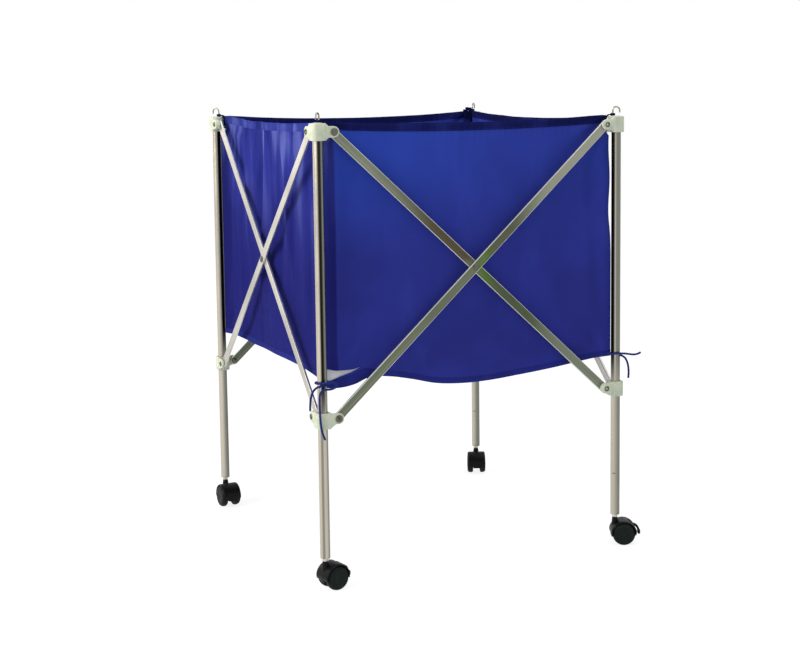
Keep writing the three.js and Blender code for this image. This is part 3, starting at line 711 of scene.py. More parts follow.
def add_tie(name, route, k):
    x, y = (-HALF, -HALF) if k == 0 else (HALF, -HALF)
    path = smooth_route([(a + x, b + y, c + BAG_BOTTOM) for a, b, c in route], 8)
    shape = Shape().add(sweep(path, 500 * CORD_DIAMETER, 12))
    tie = shape.piece(name, [CORD], f"{CORNERS[k]}_leg", f"{CORNERS[k]}_tie", "tie_cord")
    metres = [place(p) for p in path]
    length = sum(math.dist(a, b) for a, b in zip(metres, metres[1:]))
    return length


tie_lengths = [
    add_tie("front_left_tie_visual", FL_TIE, 0),
    add_tie("front_right_tie_visual", FR_TIE, 1),
]


# Frame; depths are out from the plane of the legs
LUG_FRONT, THICK_LUG, THIN_LUG = 12.5, 2.2, 7.5  # the front of all lugs and the backs of each kind
LUG_RADIUS = 10.5
LAYERS = {"outer": (2.2, 7.2), "inner": (-3.1, 1.9)}  # backs and fronts of the bars
BAR_HALF = 9.0
RIVET_SEAT = 12.8  # where the end rivets' heads and tails lie on the lugs
SHANK = 3.0
BORE, MARK_HEIGHT = 8.3, 150.0  # the tubes' inner radius and the height of their press marks
WIRE = 1.6  # radius of the hooks' wire


def corner_piece(shape, k, shown, materials, body, node, slot):
    """Makes a piece at corner k, given the last words of the names of piece, body and node."""
    name = CORNERS[k]
    shape.piece(f"{name}_{shown}", materials, f"{name}_{body}", f"{name}_{node}", slot)


def leg_tube(k):
    """A drawn tube with a rounded foot and the press mark over its plug."""
    length = TUBE_TOP - FOOT
    profile = [(BORE, 90.0), (BORE, 0.9)] + arc(TUBE_RADIUS - 0.6, 0.6, 0.6, -150, 0, 5)
    profile += [(TUBE_RADIUS, length * i / 12) for i in range(1, 13)] + [(BORE, length)]
    x, y = corner_matrix(k).translation[:2]
    shape = Shape().add(lathe(profile, 48), 0, shift(x, y, FOOT) @ turn_z(TUBE_TURN))
    # the press mark is a flush dark plate of painted shadow
    outline = [(-3.5, -0.6), (3.5, -0.6), (3.5, 0.6), (-3.5, 0.6)]
    mark = plate(outline, TUBE_RADIUS - 0.4, TUBE_RADIUS + 0.02)
    stand = Matrix(((0, 0, 1, 0), (1, 0, 0, 0), (0, 1, 0, 0), (0, 0, 0, 1)))
    shape.add(mark, 1, shift(x, y, MARK_HEIGHT) @ turn_z(PRESS_MARKS[k]) @ stand)
    finishes = [TUBES[CORNERS[k]], DARK]
    corner_piece(shape, k, "tube_skin", finishes, "leg", "leg_tube", "anodised_tube")


def rounded_square(side, radius, outer, steps=6):
    """A square whose corner away from the cart has a radius of its own."""
    corners = []
    for n, (x, y) in enumerate(((1, -1), (1, 1), (-1, 1), (-1, -1))):
        r = outer if n == 3 else radius
        corners.append(arc(x * (side / 2 - r), y * (side / 2 - r), r, -90 + 90 * n, 90 * n, steps))
    made = []
    for n, corner in enumerate(corners):
        (x0, y0), (x1, y1) = corner[-1], corners[(n + 1) % 4][0]
        made += corner + [(x0 + (x1 - x0) * t / 6, y0 + (y1 - y0) * t / 6) for t in range(1, 6)]
    return made


BLOCK = rounded_square(26.4, 3.5, 7)


def bracket_lug():
    inside, tall = 12.5, 15.0
    lower = [(0, -tall), (inside, -tall), (inside + 1.6, 1.2 - tall)]
    lower += [(inside + 4.6, -LUG_RADIUS - 0.3), (inside + 5.8, -LUG_RADIUS)]
    return lower + arc(REACH, 0, LUG_RADIUS, -90, 90, 18) + [(x, -y) for x, y in reversed(lower)]


def slider_lug():
    top, bottom = 11.5, -17.5
    outline = [(0, bottom), (12.5, bottom)]
    outline += bend((12.5, bottom), (20.7, -LUG_RADIUS), (22.5, -LUG_RADIUS))
    outline += arc(REACH, 0, LUG_RADIUS, -90, 90, 18)
    return outline + [(20, LUG_RADIUS + 0.1), (14, top - 0.2), (12, top), (0, top)]


def add_lugs(shape, here, outline, right_back, left_back, start=0.0):
    """Adds the lugs of both faces that meet at a corner; they start beside the moulding's bore."""
    for side, turns, back in ((1, 0, right_back), (-1, -90, left_back)):
        flat = [(side * max(x, start), y) for x, y in outline]
        shape.add(plate(flat, back, LUG_FRONT, 1.1, 3), 0, here @ turn_z(turns) @ UPRIGHT)


def bracket(k):
    here = corner_matrix(k) @ shift(0, 0, TOP_PIVOT)
    shape = Shape().add(plate(BLOCK, -BRACKET_HALF, BRACKET_HALF, 1.6, 4), 0, here)
    cap = [(0, 15.6), (8.4, 15.6), (8.4, 16.5), (7.8, 17.0), (0, 17.2)]
    shape.add(lathe(cap, 32), 0, here)
    add_lugs(shape, here, bracket_lug(), THICK_LUG, THIN_LUG)
    corner_piece(shape, k, "bracket_moulding", [NYLON], "leg", "top_bracket", "white_nylon")


def slider(k):
    """A block with rounded ends whose bore goes right through."""
    bottom, top, bore = -SLIDER_BELOW, 12.5, 9.8
    here = corner_matrix(k) @ shift(0, 0, LOW_PIVOT)
    round_hole = [(bore * x / math.hypot(x, y), bore * y / math.hypot(x, y)) for x, y in BLOCK]
    end = [(round_hole, 0.8), (inset(BLOCK, 1.4), 0), (inset(BLOCK, 0.5), 0.4), (BLOCK, 1.5)]
    levels = [(flat, bottom + depth) for flat, depth in end]
    levels += [(flat, top - depth) for flat, depth in reversed(end)]
    levels.append(levels[0])
    loops = [[(x, y, z) for x, y in flat] for flat, z in levels]
    shape = Shape().add(rings(loops, False), 0, here)
    add_lugs(shape, here, slider_lug(), THIN_LUG, THICK_LUG, 10.5)
    corner_piece(shape, k, "slider_moulding", [NYLON], "slider", "slider", "white_nylon")


def head_profile(back, seat):
    """A rivet's shank, from its back, and its domed head."""
    dome = [(7.4 * math.cos(a), seat + 0.5 + 2.1 * math.sin(a)) for a in np.radians(range(0, 91, 10))]
    return [(0, back), (SHANK, back), (SHANK, seat), (7.3, seat), *dome]


def tail_profile(back, seat):
    """A rivet's shank and its rolled tail, with a hollow in the middle."""
    rolled = [(5.2, 0), (5.5, 0.4), (5.1, 1.1), (4.4, 1.6), (3.5, 1.5), (2.9, 0.8), (2.5, -0.9), (0, -1)]
    return [(0, back), (SHANK, back), (SHANK, seat)] + [(r, seat + rise) for r, rise in rolled]


def flange(back, sunk=0.2):
    """A rivet's flat end behind a bar whose back is given."""
    outer, inner = back - 1.6, back + sunk
    return lathe([(0, outer), (4.4, outer), (5.4, outer + 0.7), (5.5, inner), (0, inner)], 28)


def bar(k, layer):
    """A flat bar of flattened tube with its rivets; drawn along X from its left end."""
    back, front = LAYERS[layer]
    across, rise = 2 * (HALF - REACH), TOP_PIVOT - LOW_PIVOT
    length, slope = math.hypot(across, rise), math.atan2(rise, across)
    outline = arc(0, 0, BAR_HALF, 90, 270, 16)
    outline += [(length * i / 8, -BAR_HALF) for i in range(1, 8)]
    outline += arc(length, 0, BAR_HALF, -90, 90, 16)
    outline += [(length * i / 8, BAR_HALF) for i in range(7, 0, -1)]
    start, turn = (LOW_PIVOT, slope) if layer == "outer" else (TOP_PIVOT, -slope)
    matrix = face_matrix(k) @ shift(REACH - HALF, start, 0) @ Matrix.Rotation(turn, 4, "Z")
    points, faces, uvs = plate(outline, back, front, 1.2, 4)
    shape = Shape().add((points, [f for f in faces if len(f) > 4], uvs), 0, matrix)
    # the rounded edges take the painted highlight
    shape.add((points, [f for f in faces if len(f) == 4], uvs), 3, matrix)
    # the tail's hollow is filled with a dark disc of painted shadow
    hollow = disc(2.65, RIVET_SEAT - 1.2, RIVET_SEAT - 0.5, 20)
    for x, profile in ((0, tail_profile if FACES[k] == "left" else head_profile), (length, tail_profile)):
        there = matrix @ shift(x, 0, 0)
        shape.add(lathe(profile((back + front) / 2, RIVET_SEAT), 28), 1, there)
        shape.add(flange(back), 1, there)
        if profile is tail_profile:
            shape.add(hollow, 2, there)
    name = f"{FACES[k]}_{layer}_bar"
    # the side faces' bars take the paler copy with painted light
    metal = SIDE_BAR_PAINTED_LIGHT if k % 2 else BAR
    shape.piece(f"{name}_flat", [metal, RIVET, DARK, BAR_EDGE_HIGHLIGHT], name, name, "flat_bar")


def centre_rivet(k):
    matrix = face_matrix(k) @ shift(0, (TOP_PIVOT + LOW_PIVOT) / 2, 0)
    head = [(0.9 * radius, z) for radius, z in head_profile(-3.6, 7.5)]
    shape = Shape().add(flange(-3.3, -0.1), 0, matrix).add(lathe(head, 28), 0, matrix)
    face = FACES[k]
    node = f"{face}_centre_rivet"
    shape.piece(f"{face}_middle_rivet", [RIVET], f"{face}_inner_bar", node, "bright_steel")


def wire_radius(share):
    """Of the hook's wire at a share of its length: it is rounded off at the free end."""
    return WIRE if share < 0.975 else WIRE - (share - 0.975) * 24


def hook(k):
    """Wire bent over the way to the cart's middle, one leg of it in the bracket."""
    radius, free_end = 7.0, 7
    straight = 20.6 - WIRE - radius
    path = [(radius, -5), (radius, -2), (radius, 1), (radius, straight / 2)]
    path += arc(0, straight, radius, 0, 180, 12)
    path += [(-radius, (straight + free_end) / 2), (-radius, free_end)]
    slant = math.sqrt(0.5)
    route = [(d * slant, d * slant, z + TOP) for d, z in path]
    shape = Shape().add(sweep(smooth_route(route, 4), wire_radius, 14), 0, corner_matrix(k))
    corner_piece(shape, k, "hook_wire", [STEEL], "leg", "bag_hook", "bright_steel")


# Casters, drawn at the middle and trailing towards +X
TRAIL, HOOD_RADIUS, CASTER_HALF = 17.0, 27.0, 21.3
WHEEL_SIDE = 8.5  # from the caster's middle to the inner side of a wheel
WHEEL_PROFILE = [
    (0, 10), (3.3, 10), (3.3, 0), (6, 0), (6.6, 1.6), (17, 1.6), (18, 0), (20.8, 0), (22.2, 0.7),
    (23, 1.9), (23.4, 3.3), (23.5, 4.8), (23.45, 6.6), (23.2, 8.2), (22.7, 9.8), (22, 11.1),
    (21, 12.2), (20.2, 12.8), (19.8, 12.5), (19, 12.55), (18.6, 12.95), (12, 13.4), (5, 13.65),
    (4.4, 13.3), (3.8, 13.65), (0, 13.7),
]
AXLE_PROFILE = [(0, -18.2), (2.6, -18.2), (3, -17.8), (3, 17.8), (2.6, 18.2), (0, 18.2)]
NECK_PROFILE = [
    (0, 34.6), (6.3, 34.6), (6.5, 36), (6.5, 46), (6.2, 51), (5.4, 55.7), (4.8, 56.5), (0, 56.5),
]
STEM_PROFILE = [
    (0, 34.8), (3.4, 34.8), (4, 35.4), (4, 56.8), (5.6, 56.8), (6.1, 57.2), (6.1, 58.3), (5.4, 58.8),
    (4.6, 59.1), (4.6, 59.9), (5.8, 60.2), (6.4, 60.6), (6.4, 61.3), (7.9, 61.7), (8.0, 62.4),
    (8.0, 150), (0, 150),
]


def hood_point(degrees, radius):
    a = math.radians(degrees)
    return (TRAIL + radius * math.cos(a), WHEEL_RADIUS + radius * math.sin(a))


LEVER_PIN = hood_point(52, HOOD_RADIUS - 6)
LEVER_TIP = TRAIL + HOOD_RADIUS + 7.5
PEDAL_FOOT = 21.0


def hood_shell():
    """The barrel over the wheels: its rounded section carried round the axle."""
    edge, side, inside = 4.5, CASTER_HALF, 24.5
    section = arc(HOOD_RADIUS - edge, edge - side, edge, -62, 0, 5)
    section += arc(HOOD_RADIUS - edge, side - edge, edge, 0, 62, 5)
    section += [(inside, 9), (inside, -9)]
    loops = []
    for i in range(49):
        a = math.radians(-7 + 196 * i / 48)
        thin = 1 - 0.75 * max(0, 1 - min(i, 48 - i) / 5) ** 1.5
        ring = [(24.2 + (r - 24.2) * thin, y) for r, y in section]
        loops.append([(TRAIL + r * math.cos(a), y, WHEEL_RADIUS + r * math.sin(a)) for r, y in ring])
    return rings(loops)


def caster_hood(k, base):
    shape = Shape().add(hood_shell(), 0, base)
    web = arc(TRAIL, WHEEL_RADIUS, 25.6, -19, 199, 48)
    shape.add(plate(web, -8.2, 8.2, 1.0, 3), 0, base @ UPRIGHT)
    shape.add(lathe(NECK_PROFILE, 36), 0, base)
    if k < 2:
        add_cheeks(shape, base)
    corner_piece(shape, k, "hood_shell", [HOOD], "caster", "caster_hood", "black_plastic")


def add_cheeks(shape, base):
    """The hood's two cheeks beside the brake lever."""
    cheek = [hood_point(a, 26.5) for a in range(28, 77, 6)]
    cheek += [hood_point(a, 26.9 + 1.3 * math.sin(math.pi * (a - 28) / 48)) for a in range(73, 30, -6)]
    for low, high in ((-6.4, -4.1), (4.1, 6.4)):
        shape.add(plate(cheek, low, high, 0.5, 2), 0, base @ UPRIGHT)


def caster(k):
    x, y = corner_matrix(k).translation[:2]
    base = shift(x, y, 0) @ turn_z(HEADINGS[k])
    caster_hood(k, base)
    hub = base @ shift(TRAIL, 0, WHEEL_RADIUS)
    disc_points = lathe([(r, z + WHEEL_SIDE) for r, z in WHEEL_PROFILE], 56)
    for side, flip in (("right", 90), ("left", -90)):
        wheel = Shape().add(disc_points, 0, hub @ Matrix.Rotation(math.radians(flip), 4, "X"))
        node = f"wheel_{side}"
        corner_piece(wheel, k, f"{side}_wheel_disc", [WHEEL], node, node, "wheel_plastic")
    axle = Shape().add(lathe(AXLE_PROFILE, 20), 0, hub @ UPRIGHT)
    corner_piece(axle, k, "axle_pin", [STEEL], "caster", "axle", "bright_steel")
    stem = Shape().add(lathe(STEM_PROFILE, 32), 0, shift(x, y, 0))
    corner_piece(stem, k, "stem_pin", [PALE_STEEL], "leg", "caster_stem", "bright_steel")
    if k < 2:
        brake_pedal(k, base)


def lever_outline():
    """A strap from its round end on the pin down to the pedal, bent on both sides."""
    x, z = LEVER_PIN
    half, round_off = 2.25, 4.5
    start, inner = x + round_off, LEVER_TIP - round_off
    outline = arc(x, z, half, 90, 270, 8) + [(start, z - half)]
    outline += bend((start, z - half), (inner, z - half), (inner, PEDAL_FOOT))
    outline.append((LEVER_TIP, PEDAL_FOOT))
    return outline + bend((LEVER_TIP, PEDAL_FOOT), (LEVER_TIP, z + half), (start, z + half))


def brake_pedal(k, base):
    x, z = LEVER_PIN
    lever = Shape().add(plate(lever_outline(), -3.5, 3.5, 0.8, 3), 0, base @ UPRIGHT)
    lever.add(disc(1.5, -5, 5, 16), 0, base @ UPRIGHT @ shift(x, z, 0))
    tip, top, back = LEVER_TIP, (z + PEDAL_FOOT) / 2, LEVER_TIP - 4.5
    pedal = [(back, PEDAL_FOOT), (tip, PEDAL_FOOT), (tip, top - 2.3), (tip - 2.3, top), (back, top)]
    lever.add(plate(pedal, -8.5, 8.5, 1.0, 3), 0, base @ UPRIGHT)
    for rib in range(3):
        low = PEDAL_FOOT + 1.2 + 2.5 * rib
        strip = [(tip - 0.4, low), (tip + 0.4, low + 0.5), (tip + 0.4, low + 1), (tip - 0.4, low + 1.5)]
        lever.add(plate(strip, -7, 7), 0, base @ UPRIGHT)
    corner_piece(lever, k, "brake_pedal", [HOOD], "brake_lever", "brake_lever", "black_plastic")


for number in range(4):
    leg_tube(number)
    bracket(number)
    slider(number)
    hook(number)
    caster(number)
    centre_rivet(number)
    bar(number, "inner")
    bar(number, "outer")


# Bag

# Heights of the lower edge above the bag's bottom corners, from the left end of a face to the right
HEM_HEIGHTS = {
    "front": [
        (0, -11), (0.04, -14), (0.075, -13), (0.11, -8.5), (0.137, -2), (0.17, 0), (0.22, -3), (0.29, -12),
        (0.375, -25), (0.46, -30), (0.56, -30), (0.66, -26), (0.77, -20), (0.88, -12), (0.96, -6), (1, -4),
    ],
    "right": [(0, -4), (0.1, -6), (0.3, -14), (0.5, -19), (0.7, -15), (0.9, -6), (1, -2)],
    "back": [(0, -2), (0.1, -7), (0.3, -17), (0.5, -22), (0.7, -16), (0.9, -6), (1, -1)],
    "left": [(0, -1), (0.1, 1), (0.3, 0), (0.5, 3), (0.65, 3), (0.8, 0), (0.92, -6), (1, -11)],
}
# Ridges and hollows: where along the wall at the top, where at the bottom, half width, depth, and
# the heights between which each fades out (0 is the lower edge and 1 the rim).
FOLDS = {
    "front": [
        (0.14, 0.12, 0.018, 2.0, 0.3, 0.8), (0.2, 0.24, 0.03, -2.2, 0.2, 0.9),
        (0.46, 0.43, 0.02, 1.8, 0.55, 1.0), (0.55, 0.6, 0.05, -2.5, 0.1, 0.9),
        (0.72, 0.76, 0.03, 1.6, 0.3, 1.0), (0.9, 0.93, 0.02, 2.2, 0.15, 0.9),
        (0.36, 0.3, 0.04, 2.0, 0.1, 0.7), (0.82, 0.85, 0.03, -1.8, 0.1, 0.7),
        (0.07, 0.05, 0.02, -2.0, 0.2, 0.9),
    ],
    "left": [
        (0.1, 0.07, 0.022, 4.5, 0.1, 0.75), (0.17, 0.2, 0.03, -5.0, 0.1, 1.0),
        (0.24, 0.3, 0.022, 5.0, 0.3, 1.0), (0.31, 0.47, 0.026, 5.5, 0.25, 1.0),
        (0.38, 0.4, 0.022, -5.0, 0.35, 1.0), (0.47, 0.36, 0.022, 5.5, 0.3, 1.0),
        (0.55, 0.6, 0.025, -5.0, 0.3, 1.0), (0.62, 0.76, 0.024, 5.0, 0.3, 1.0),
        (0.7, 0.68, 0.022, -4.5, 0.4, 1.0), (0.77, 0.58, 0.024, 5.0, 0.35, 1.0),
        (0.85, 0.84, 0.03, -4.5, 0.15, 1.0), (0.92, 0.9, 0.02, 4.0, 0.1, 0.95),
        (0.55, 0.5, 0.07, 5.0, 0.0, 0.5), (0.25, 0.2, 0.05, -4.0, 0.0, 0.45),
    ],
    "right": [
        (0.12, 0.1, 0.025, 4.0, 0.15, 1.0), (0.2, 0.26, 0.03, -4.5, 0.1, 1.0),
        (0.33, 0.3, 0.025, 4.5, 0.2, 1.0), (0.42, 0.5, 0.03, -4.5, 0.25, 1.0),
        (0.52, 0.45, 0.028, 4.5, 0.2, 1.0), (0.63, 0.66, 0.03, -4.0, 0.2, 1.0),
        (0.74, 0.68, 0.026, 4.5, 0.2, 1.0), (0.84, 0.88, 0.03, -4.0, 0.1, 1.0),
        (0.93, 0.9, 0.02, 3.5, 0.1, 0.9),
    ],
    "back": [
        (0.1, 0.14, 0.025, 3.5, 0.15, 1.0), (0.22, 0.2, 0.03, -4.0, 0.1, 1.0),
        (0.35, 0.42, 0.03, 4.0, 0.2, 1.0), (0.48, 0.46, 0.03, -4.0, 0.2, 1.0),
        (0.58, 0.52, 0.025, 4.0, 0.25, 1.0), (0.7, 0.76, 0.03, -4.0, 0.15, 1.0),
        (0.82, 0.78, 0.026, 4.0, 0.2, 1.0), (0.92, 0.94, 0.022, -3.0, 0.1, 0.9),
    ],
}
FOLD_GAIN = {"front": 0.8, "right": 0.8, "back": 0.8, "left": 1.25}
RIM_SAG = {"front": 9, "right": 12, "back": 12, "left": 10}
SEEDS = {"front": 1.3, "right": 4.1, "back": 7.7, "left": 2.9}  # where each wall's ripples start


def smooth(x, low, high):
    t = np.clip((x - low) / (high - low), 0, 1)
    return t * t * (3 - 2 * t)


def curve_through(pairs, x):
    """Cubic that goes through the points without overshooting much."""
    xs, ys = (np.array(c, float) for c in zip(*pairs))
    slopes = np.gradient(ys, xs)
    i = np.clip(np.searchsorted(xs, x, side="right") - 1, 0, len(xs) - 2)
    h = xs[i + 1] - xs[i]
    t = (x - xs[i]) / h
    a, b = ys[i], ys[i + 1]
    return (
        a * (1 + 2 * t) * (1 - t) ** 2
        + slopes[i] * h * t * (1 - t) ** 2
        + b * t * t * (3 - 2 * t)
        - slopes[i + 1] * h * t * t * (1 - t)
    )


def hem_height(face, u):
    return BAG_BOTTOM + curve_through(HEM_HEIGHTS[face], u)


def rim_height(face, u):
    ends = 1 - smooth(np.minimum(u, 1 - u), 0, 0.02)
    return RIM - RIM_SAG[face] * (1 - (2 * u - 1) ** 2) ** 0.8 - 1.5 * ends


CORNER_OUT, CORNER_STEP = 305.2, 7.9  # beside a bracket, and how much further out below it
STEP_FROM, STEP_TO = 845.5, 849.5  # heights
WALL_OUT = {"front": 305.0, "right": 305.0, "back": 305.0, "left": 302.5}
WALL_END, FLOOR_END = 312.5, 286.0  # from the middle to the ends of a wall and of a floor half
HUNG_WIDTH, HUNG_HEIGHT = 611, 487


def corner_out(z, corner):
    """How far from the middle an upright corner seam of the bag lies: clear of the bracket above
    and close to the tube below it. The front right one hangs a little slack."""
    slack = 0.0
    if corner == 1:
        slack = (2.6 + 0.9 * np.sin(z / 21)) * smooth(z, 600, 690)
    return CORNER_OUT + (CORNER_STEP - slack) * (1 - smooth(z, STEP_FROM, STEP_TO))


ROUND = 2.0  # radius of the bag's upright corners
ROUND_HALFWAY = 0.293 * ROUND
CLEAR = -7.4  # the nearest that a wall comes to the plane of the legs
COLUMNS, ROWS, HEM_ROWS = 170, 110, 9  # of the grids of the walls and their hems
EAR_ROW = 3  # row of the front wall's grid above which its slit lies
SLIT_END = 0.12  # share of the front wall's width where the slit closes


def slit_height(u, v, low, high, z):
    """Opens the front wall above the flap that is tied to the front left leg: the flap gets
    higher and the gap above it lower away from the corner."""
    lower, upper = EAR_ROW / (ROWS - 1), (EAR_ROW + 1) / (ROWS - 1)
    along = np.clip(u / SLIT_END, 0, 1)
    share = 1 - smooth(u, SLIT_END, SLIT_END + 0.1)
    flap = (high - low) * lower * (1 - share) + share * (9 + 18 * along**0.7)
    gap = (high - low) * (upper - lower) * (1 - share) + share * (0.5 + 25.5 * (1 - along) ** 1.3)
    below = low + flap * v / lower
    inside = low + flap + gap * (v - lower) / (upper - lower)
    above = low + flap + gap + (high - low - flap - gap) * (v - upper) / (1 - upper)
    opened = np.where(v < lower, below, np.where(v < upper, inside, above))
    return opened * share + z * (1 - share)


def wall_points(face, u, v):
    """Right, up and out (from the plane of the legs) of points on the bag's outside."""
    low, high = hem_height(face, u), rim_height(face, u)
    z = low + (high - low) * v
    if face == "front":
        z = slit_height(u, v, low, high, z)
    first = FACES.index(face)
    ends = corner_out(z, first), corner_out(z, (first + 1) % 4)
    corner = np.where(u < 0.5, *ends)
    width = ends[0] + ends[1] - 2 * ROUND_HALFWAY
    right = ROUND_HALFWAY - ends[0] + width * u
    near = np.clip(np.minimum(u, 1 - u) * width + ROUND_HALFWAY, 0, ROUND)
    turned = ROUND - np.sqrt(np.maximum(ROUND**2 - (ROUND - near) ** 2, 0))
    window = smooth(np.minimum(u, 1 - u), 0.0, 0.07)
    out = -(HALF - corner) * (1 - window) - (HALF - WALL_OUT[face]) * window - turned
    seed = SEEDS[face]
    fold = np.zeros_like(out)
    for top, bottom, half_width, depth, fade_low, fade_high in FOLDS[face]:
        at = bottom + (top - bottom) * v
        width_here = half_width * (1.35 - 0.5 * v)
        strength = smooth(v, fade_low - 0.12, fade_low + 0.15)
        if fade_high < 1:
            strength = strength * (1 - smooth(v, fade_high - 0.15, fade_high + 0.1))
        fold += FOLD_GAIN[face] * depth * strength * np.exp(-(((u - at) / width_here) ** 2))
    # small gathers run out from the hooks above and the ties below
    for corner_u in (0.0, 1.0):
        du = (u - corner_u) * HUNG_WIDTH
        for edge_v, size, count in ((1.0, 2.4, 11), (0.0, 4.6, 9)):
            dv = (v - edge_v) * HUNG_HEIGHT
            distance = np.hypot(du, dv)
            angle = np.arctan2(np.abs(dv), np.abs(du) + 1e-6)
            fade = smooth(distance, 6, 45) * np.exp(-distance / 120)
            fold += size * fade * np.sin(count * angle + seed + 2 * corner_u)
    turn = 2 * np.pi
    ripple = np.sin(turn * (2.1 * u + 0.4 * v) + seed) * np.sin(turn * (0.8 * v - 0.5 * u) + 2 * seed)
    fold += 2.2 * ripple + 0.7 * np.sin(turn * (5.3 * u - 1.1 * v) + 3 * seed) * np.sin(np.pi * v)
    fold *= window
    # the cloth stays clear of the bars: folds are flattened softly as they near them
    out = np.where(window > 0, CLEAR - 1.2 * np.logaddexp(0, (CLEAR - out - fold) / 1.2), out)
    # the rim is gathered a little on its tape
    gather = 0.5 * np.sin(46 * turn * u + 2.0 * np.sin(17 * u + seed)) * smooth(v, 0.9, 1.0)
    return right, z, out + gather * window


def thick_grid(right, up, out, thickness, behind=0.0, holes=None):
    """A closed sheet from a grid of points, its outside moved out and its inside in. Cells that
    are marked as holes are left out."""
    grid = np.stack([right, up, out], axis=-1)
    across = np.gradient(grid, axis=0)
    along = np.gradient(grid, axis=1)
    normal = np.cross(across, along)
    normal /= np.linalg.norm(normal, axis=-1, keepdims=True)
    outside = grid - normal * behind
    inside = grid - normal * (behind + thickness)
    n, m = right.shape
    points = np.concatenate([outside.reshape(-1, 3), inside.reshape(-1, 3)])
    index = np.arange(n * m).reshape(n, m)
    a, b, c, d = index[:-1, :-1], index[1:, :-1], index[1:, 1:], index[:-1, 1:]
    front = np.stack([a, b, c, d], axis=-1).reshape(-1, 4)
    back = front[:, ::-1] + n * m
    ring = np.concatenate([index[:, 0], index[-1, 1:], index[-2::-1, -1], index[0, -2:0:-1]])
    after = np.roll(ring, -1)
    rim = np.stack([ring + n * m, after + n * m, after, ring], axis=-1)
    if holes is not None:
        kept = ~holes.reshape(-1)
        front, back = front[kept], back[kept]
        sides = np.concatenate([front[:, [i, (i + 1) % 4]] for i in range(4)])
        edges = {tuple(edge) for edge in sides.tolist()}
        rim = [(i + n * m, j + n * m, j, i) for i, j in edges if (j, i) not in edges]
    faces = np.concatenate([front, back, rim]).tolist()
    return points, faces


def unit_grid(columns, rows, across=(0, 1), up=(0, 1)):
    return np.meshgrid(np.linspace(*across, columns), np.linspace(*up, rows), indexing="ij")


def sheet_uv(length, height, columns, rows):
    """Metres along a sheet, for its outside and then for its inside."""
    flat = np.stack(unit_grid(columns, rows, (0, length), (0, height)), axis=-1).reshape(-1, 2)
    return np.concatenate([flat, flat]).tolist()


def slit_light_sheet():
    """A near-white sheet in the slit of the front wall: painted light that stands in for the bright
    background seen through the gap.
    """
    columns, rows = 24, 6
    u, v = unit_grid(columns, rows, (0.004, SLIT_END + 0.004))
    lower, upper = EAR_ROW / (ROWS - 1), (EAR_ROW + 1) / (ROWS - 1)
    right, up, out = wall_points("front", u, lower + (upper - lower) * v)
    points, faces = thick_grid(right, up + 3.0 * (2 * v - 1), out - 2.0 - 1.5 * v, 0.8)
    return points, faces, sheet_uv(0.05, 0.02, columns, rows)


def add_hems(shape, face, matrix):
    """The tape folded over the rim and the hem along the lower edge."""
    u, w = unit_grid(COLUMNS, HEM_ROWS)
    tall = rim_height(face, u) - hem_height(face, u)
    right, up, out = wall_points(face, u, 1 - (1 - w) * RIM_TAPE / tall)
    tape = thick_grid(right, up + 0.7 * w, out, 2.3, -0.7)
    right, up, out = wall_points(face, u, w * LOWER_HEM / tall)
    hem = thick_grid(right, up - 0.4 * (1 - w), out, 1.8, -0.45)
    for kind, width, (points, faces) in ((1, RIM_TAPE, tape), (2, LOWER_HEM, hem)):
        uvs = sheet_uv(WALL_FLAT[0], width * 0.001, COLUMNS, HEM_ROWS)
        shape.add((points, faces, uvs), kind, matrix)


def add_threads(shape, face, matrix):
    """Rows of thread along the rim, outside and inside, and along the lower hem."""
    u = np.linspace(0.012, 0.988, 160)
    tall = rim_height(face, u) - hem_height(face, u)
    rows = [(1 - row / tall, off) for off in (0.8, -1.7) for row in RIM_ROWS]
    for v, off in [*rows, (HEM_ROW / tall, 0.55)]:
        right, up, out = wall_points(face, u, v)
        chain = np.stack([right, up, out + off], axis=-1).tolist()
        shape.add(grown(STITCH_TREE, chain, Pitch=4.2, Length=2.9, Thread=0.5), 5, matrix)


def add_webbing(shape, k):
    """The loop round the hook's root and its two ends, sewn down into the corner of the bag."""
    corner = corner_matrix(k) @ turn_z(45)
    turns = np.linspace(0, 4 * math.pi, 48)
    coil = [(7 + 3.5 * math.cos(a), 3.5 * math.sin(a), TOP + 1.9 + 0.27 * a) for a in turns]
    shape.add(sweep(coil, 1.5, 10), 3, corner)
    for side in (-1, 1):
        end = [(9.6, side * 2.4, TOP + 2.6), (12, side * 2.8, TOP + 3.4), (15, side * 3, TOP + 3)]
        end += [(18.4, side * 3.2, TOP + 1), (21.2, side * 3.4, TOP - 4), (22.3, side * 3.4, TOP - 11)]
        end.append((22.6, side * 3.2, TOP - 20))
        shape.add(ribbon(smooth_route(end, 5), (0, 1, 0), 2.0, 5.6), 3, corner)


def add_straps(shape, k):
    """Folds of spare webbing that lie over the rim beside a hook."""
    for dx, lift, tall in ((13, 2, 27), (20, 8, 32), (28, 9, 26), (34, 4, 20)):
        strap = [(dx - 3, 19, TOP + lift - 6), (dx - 1, 20, TOP + lift), (dx + 1, 22, TOP + lift - 1)]
        strap += [(dx + 1, 24, TOP + lift - 0.4 * tall), (dx - 1, 24.5, TOP + lift - tall)]
        shape.add(ribbon(smooth_route(strap, 6), (1, 0.2, 0), 2.2, 7.0), 3, corner_matrix(k))


